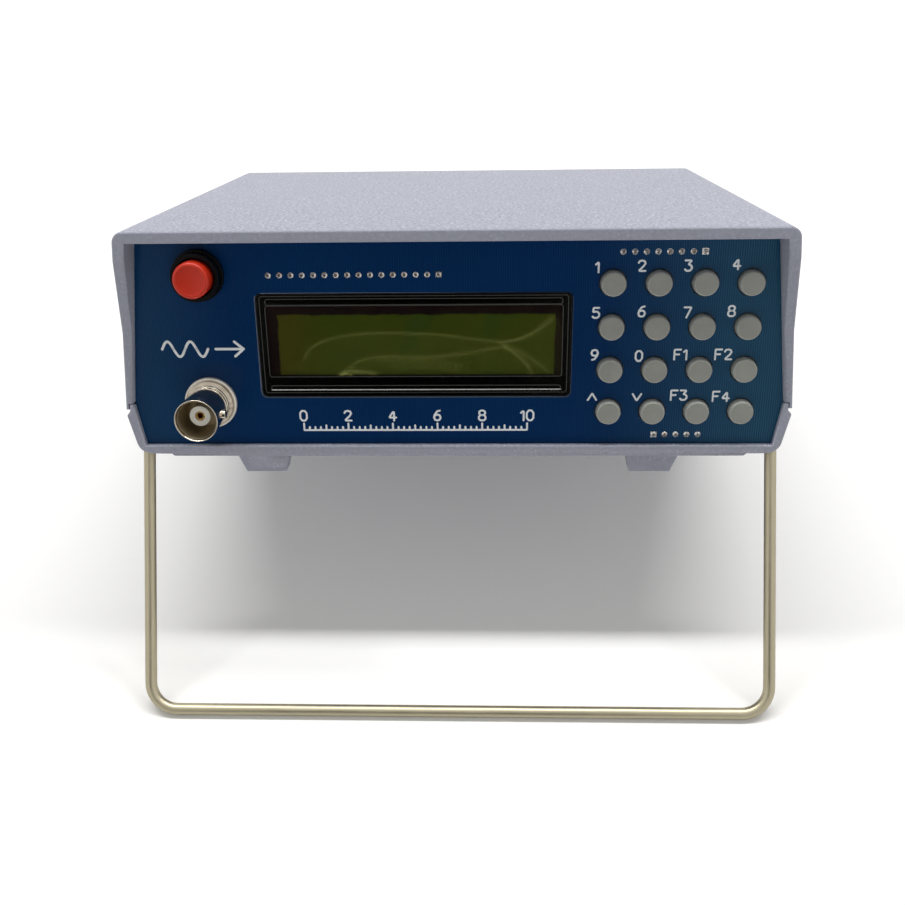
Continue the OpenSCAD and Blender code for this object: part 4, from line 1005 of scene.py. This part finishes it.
class INSTRUMENT_OT_display(bpy.types.Operator):
    """Finish the display's frame and glass, and lay its film"""

    bl_idname = "instrument.display"
    bl_label = "Display"

    def execute(self, context):
        black = metal("frame_black", (0.055, 0.055, 0.052), 0.2, depth=0.001)
        dress("lcd_frame", black, 0.16, segments=3, reach=3)
        low, high = span("lcd_frame")
        self.press_lines(low, high)
        left, right, bottom, top = WINDOW
        front = span("lcd_glass")[0].y
        low = Vector((low.x + left, front, low.z + bottom))
        high = Vector((high.x - right, front, high.z - top))
        dress("lcd_glass", screen_glass(low, high), 0.05)
        film = film_mesh(low, high)
        paint(film, cover_film())
        add_print("cover_film", film)
        return {"FINISHED"}

    def press_lines(self, low, high):
        """The frame's folded rims and the lips of its two pressed slots, with a painted highlight along the
        lower lip.
        """
        x, _, z = (low + high) / 2
        # The slots' half length and their lips' heights from the middle, then the painted highlight along the
        # lower lip and the rim
        slot, upper_top, upper_foot, lower_top, lower_foot = 33.5, 10.8, 9.42, -9.5, -10.4
        glint, glint_height, rim = 33.4, -10.52, 0.12

        def outline(left, right, bottom, top):
            """A closed rectangle."""
            return [(left, bottom), (right, bottom), (right, top), (left, top), (left, bottom)]

        left, right, bottom, top = WINDOW
        rims = [
            outline(low.x + 0.8, high.x - 0.8, low.z + 0.85, high.z - 0.6),
            outline(low.x + left - rim, high.x - right + rim, low.z + bottom - rim, high.z - top + rim),
            outline(x - slot, x + slot, z + upper_foot, z + upper_top),
            [(x - slot, z + lower_foot), (x - slot, z + lower_top),
             (x + slot, z + lower_top), (x + slot, z + lower_foot)],
        ]
        shine = [[(x - glint, z + glint_height), (x + glint, z + glint_height)]]
        edge = metal("frame_edge", (0.085, 0.085, 0.08), 0.22, depth=0.001)
        # Painted highlight: a pale bright line along the lower slot's lip stands for the light it catches
        painted_highlight_metal = metal("frame_worn", (0.8, 0.8, 0.78), 0.26, scale=0.05, depth=0)
        # The drawing's own z stands out from the panel
        on_frame = ON_PANEL @ Matrix.Translation((0, 0, -low.y))
        for name, lines, width, finish in (
                ("frame_rims", rims, 0.24, edge), ("frame_glint", shine, 0.3, painted_highlight_metal)):
            mesh = stroke_shape(lines, name, width, bend=0.6, ink=0.12, finish=finish)
            mesh.transform(on_frame)
            mesh.shade_smooth()
            add_print(name, mesh)


class INSTRUMENT_OT_keys(bpy.types.Operator):
    """Finish the sixteen keys"""

    bl_idname = "instrument.keys"
    bl_label = "Keys"

    def execute(self, context):
        plastic = key_plastic()
        for node in KEY_LABELS:
            dress(node, plastic, 0.14)
        return {"FINISHED"}


class INSTRUMENT_OT_header_pins(bpy.types.Operator):
    """Solder the three rows of header pins"""

    bl_idname = "instrument.header_pins"
    bl_label = "Header pins"

    def execute(self, context):
        tin = solder()
        # Painted shade: near-black for the shaded middle of each solder joint
        crater = plain_plastic("solder_crater", (0.09, 0.08, 0.07), 0.5)
        pad, pin_half = sizes().pad_radius / MM, 0.32
        for node, (count, first) in HEADERS.items():
            low, high = span(node)
            outer = (high.z - low.z) / 2
            step = (high.x - low.x - 2 * outer) / (count - 1)
            row = [(low.x + outer + i * step, (low.z + high.z) / 2, i == first) for i in range(count)]
            mesh = pin_shape(row, node, pad, tin, crater, pin_half, high.y)
            mesh.transform(ON_PANEL)
            stand_in(node, "soldered", mesh)
        return {"FINISHED"}


class INSTRUMENT_OT_power_switch(bpy.types.Operator):
    """Finish the power switch and turn its red button"""

    bl_idname = "instrument.power_switch"
    bl_label = "Power switch"

    def execute(self, context):
        black = plain_plastic("switch_black", (0.003, 0.003, 0.0035), 0.38, specular=0.14)
        dress("power_switch_collar", black, 0.15, segments=3)
        paint_solids("power_switch_nut power_switch_body", black)
        paint_solids("power_switch_tags", metal("tag_tin", (0.8, 0.79, 0.76), 0.3))
        low, high = span("power_button")
        side, cap_back, stem, chamfer = (high.x - low.x) / 2, 2.0, 1.9, 0.1
        face = [(side - inset, low.y + back) for inset, back in BUTTON_FACE]
        profile = [
            (0, face[0][1]), *face, (side, cap_back - chamfer), (side - chamfer, cap_back), (stem, cap_back),
            (stem, high.y - chamfer), (stem - chamfer, high.y), (0, high.y)]
        mesh = lathe(profile, 64)
        centre = (low + high) / 2
        mesh.transform(CASE @ Matrix.Translation((centre.x, 0, centre.z)))
        red = plain_plastic("button_red", colours().button, 0.35, grain=1.2, depth=0.006)
        stand_in("power_button", "turned", settled(mesh, red))
        return {"FINISHED"}


class INSTRUMENT_OT_output_socket(bpy.types.Operator):
    """Finish the round output socket"""

    bl_idname = "instrument.output_socket"
    bl_label = "Output socket"

    def execute(self, context):
        low, high = span("bnc_insulator")
        axis = (low + high) / 2
        axis.y = span("bnc_shell")[0].y
        plating = turned_nickel(axis)
        meshes = [lathe(SOCKET, 96)]
        for turn in (-90, 90):
            lug = lathe(LUG, 24)
            lug.transform(Matrix.Translation((0, LUG_BACK, 0)) @ Matrix.Rotation(math.radians(turn), 4, "Z"))
            meshes.append(lug)
        mesh = joined(meshes)
        mesh.transform(CASE @ Matrix.Translation(axis))
        stand_in("bnc_shell", "turned", settled(mesh, plating))
        dress("bnc_insulator", plain_plastic("socket_white", (1.0, 0.96, 0.85), 0.4), 0.1)
        dress("bnc_contact", metal("contact_gold", (0.7, 0.46, 0.17), 0.28), 0.05)
        paint_solids("bnc_washer bnc_nut", plating)
        return {"FINISHED"}


class INSTRUMENT_OT_power_inlet(bpy.types.Operator):
    """Finish the power inlet at the back"""

    bl_idname = "instrument.power_inlet"
    bl_label = "Power inlet"

    def execute(self, context):
        dress("inlet_body", plain_plastic("inlet_black", (0.014, 0.014, 0.015), 0.42), 0.12)
        plating = metal("inlet_nickel", (0.72, 0.7, 0.66), 0.25)
        dress("inlet_pin", plating, 0.1)
        paint_solids("inlet_nut", plating)
        return {"FINISHED"}


class INSTRUMENT_OT_tilt_bail(bpy.types.Operator):
    """Bend the tilt bail from drawn wire"""

    bl_idname = "instrument.tilt_bail"
    bl_label = "Tilt bail"

    def execute(self, context):
        size = sizes()
        points = [v.co for v in solid("tilt_bail").vertices]
        pivot = Vector(joint("bail_pivot")["pos_m"])
        low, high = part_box("tilt_bail")
        near, touching = 3 * MM, 0.01 * MM
        tip = min(abs(p.x) for p in points if (p - pivot).yz.length < near)
        radius = max((p - pivot).yz.length for p in points if abs(abs(p.x) - tip) < touching)
        half = high.x - radius
        left = [(-tip, *pivot.yz), (-half, *pivot.yz), (-half, low.y + radius, low.z + radius)]
        path = left + [(-x, y, z) for x, y, z in reversed(left)]
        bends = [0, size.pin_bend, size.bar_bend, size.bar_bend, size.pin_bend, 0]
        stand_in("tilt_bail", "wire", wire_shape(path, bends, radius, drawn_wire()))
        return {"FINISHED"}


class INSTRUMENT_OT_inner_parts(bpy.types.Operator):
    """Finish the boards, parts and leads inside the case"""

    bl_idname = "instrument.inner_parts"
    bl_label = "Inner parts"

    def execute(self, context):
        strips = "lcd_header_strip keypad_header_strip data_header_strip"
        black = plain_plastic("header_black", (0.012, 0.012, 0.013), 0.45)
        paint_solids(strips + " key_switches board_parts rf_lead", black)
        paint_solids("lcd_board keypad_board main_board", board_laminate())
        paint_solids("lcd_backlight", plain_plastic("diffuser_white", (0.78, 0.78, 0.74), 0.5))
        paint_solids("shield_can board_screws", metal("inner_tin", (0.78, 0.78, 0.77), 0.33))
        paint_solids("power_lead inlet_lead", plain_plastic("lead_red", (0.42, 0.03, 0.025), 0.45))
        paint_solids("data_ribbon", plain_plastic("ribbon_grey", (0.42, 0.42, 0.41), 0.5))
        return {"FINISHED"}


class INSTRUMENT_OT_stage(bpy.types.Operator):
    """Set the camera, the lamps, the floor and the surroundings"""

    bl_idname = "instrument.stage"
    bl_label = "Stage"

    def execute(self, context):
        scene = context.scene
        stage = scene.instrument_stage
        scene.view_settings.view_transform = "Standard"
        camera = add_object("camera", bpy.data.cameras.new("camera"))
        camera.location = (7.949 * MM, -221.074 * MM, 216.343 * MM)
        camera.rotation_euler = Euler([math.radians(a) for a in (46.383, 1.458, 1.497)])
        camera.data.lens = stage.lens
        camera.data.sensor_width = 36
        camera.data.clip_start = 0.01
        scene.camera = camera
        self.add_lamp("strip_lamp", (1.6, 0.12), 14.4, stage.lamp_power)
        front = self.add_lamp("front_lamp", (0.9, 0.16), -83, stage.front_power)
        front.visible_glossy = False
        self.add_floor()
        self.add_flags()
        self.add_world(scene, stage.ambient)
        return {"FINISHED"}

    def add_lamp(self, name, size, lean, power):
        """A rectangular lamp turned to the object, leaning that many degrees behind the vertical."""
        distance = 1.3
        lamp = add_object(name, bpy.data.lights.new(name, "AREA"))
        lamp.data.shape = "RECTANGLE"
        lamp.data.size, lamp.data.size_y = size
        lamp.data.energy = power
        lean = math.radians(lean)
        lamp.location = Vector((0, math.sin(lean), math.cos(lean))) * distance
        lamp.rotation_euler = (-lean, 0, 0)
        return lamp

    def add_sheet(self, name, low, high, finish):
        """A flat sheet between two corners that belongs to the stage."""
        outline = [low, (high[0], *low[1:]), high, (low[0], *high[1:])]
        mesh = raw_mesh(outline, (), [(0, 1, 2, 3)])
        paint(mesh, finish)
        sheet = add_object(name, mesh)
        return sheet

    def add_floor(self):
        """A pale floor that keeps the shadow and glows white to the camera further off."""
        paper = Finish(
            "floor_paper", Base_Color=(0.93, 0.926, 0.91), Roughness=0.95, Specular_IOR_Level=0.0,
            Emission_Strength=1.0)
        seen = paper.node("LightPath", output="Is_Camera_Ray")
        point = paper.node("TexCoord", output="Object")
        distance = paper.vector("LENGTH", point, output="Value").smooth(0.3, 0.9)
        glow = distance.mix((0.125, 0.124, 0.118), (1, 1, 1))
        paper.set(Emission_Color=seen.mix((0, 0, 0), glow))
        half = 4
        self.add_sheet("floor", (-half, -half, 0), (half, half, 0), paper.material)

    def add_flags(self):
        """Dark cards in front and on the floor there, seen only in reflections."""
        dark = Finish("flag_black", Base_Color=(0, 0, 0), Roughness=1.0, Specular_IOR_Level=0.0)
        right, near, far, top, low = 0.12, -0.14, -0.5, 0.45, 0.0005
        corner = (-0.215, far, low)
        for name, other in (("dark_flag", (right, far, top)), ("dark_floor", (right, near, low))):
            card = self.add_sheet(name, corner, other, dark.material)
            for ray in ("camera", "diffuse", "shadow", "transmission"):
                setattr(card, "visible_" + ray, False)

    def add_world(self, scene, ambient):
        """White surroundings to the eye and in reflections, softer as light and dimmer in front."""
        scene.world = bpy.data.worlds.new("surroundings")
        scene.world.use_nodes = True
        tree = Tree(scene.world.node_tree)
        camera, glossy, transmission = (
            tree.node("LightPath", output=f"Is_{kind}_Ray") for kind in ("Camera", "Glossy", "Transmission"))
        direction = tree.node("TexCoord", output="Generated")
        front = direction.part("Y").smooth(-0.2, -0.8)
        strength = camera.most(glossy).most(transmission).most(ambient * (1 - front * 0.32))
        background = tree.tree.nodes["Background"]
        tree.fill(background.inputs["Color"], (1, 1, 1))
        tree.fill(background.inputs["Strength"], strength)


class INSTRUMENT_PT_sidebar(bpy.types.Panel):
    """Lists the instrument's settings and steps"""

    bl_idname = "INSTRUMENT_PT_sidebar"
    bl_label = "Instrument"
    bl_space_type = "VIEW_3D"
    bl_region_type = "UI"
    bl_category = "Instrument"

    def draw(self, context):
        for name in GROUPS:
            group = getattr(context.scene, name)
            box = self.layout.box()
            for setting in group.__annotations__:
                box.prop(group, setting)
        for operator in OPERATORS:
            self.layout.operator(operator.bl_idname)


OPERATORS = (
    INSTRUMENT_OT_stage,
    INSTRUMENT_OT_case,
    INSTRUMENT_OT_panel_board,
    INSTRUMENT_OT_display,
    INSTRUMENT_OT_keys,
    INSTRUMENT_OT_header_pins,
    INSTRUMENT_OT_power_switch,
    INSTRUMENT_OT_output_socket,
    INSTRUMENT_OT_power_inlet,
    INSTRUMENT_OT_tilt_bail,
    INSTRUMENT_OT_inner_parts,
)
GROUPS = {
    "instrument_sizes": InstrumentSizes,
    "instrument_colours": InstrumentColours,
    "instrument_stage": InstrumentStage,
}


def register():
    """Adds the classes and the scene's settings."""
    for cls in (*GROUPS.values(), *OPERATORS, INSTRUMENT_PT_sidebar):
        bpy.utils.register_class(cls)
    for name, group in GROUPS.items():
        setattr(bpy.types.Scene, name, bpy.props.PointerProperty(type=group))


def unregister():
    """Takes the settings and the classes away."""
    for name in GROUPS:
        delattr(bpy.types.Scene, name)
    for cls in (INSTRUMENT_PT_sidebar, *reversed(OPERATORS), *GROUPS.values()):
        bpy.utils.unregister_class(cls)


def main():
    """Makes every piece in order."""
    register()
    for operator in OPERATORS:
        group, name = operator.bl_idname.split(".")
        getattr(getattr(bpy.ops, group), name)()


if __name__ == "__main__":
    main()
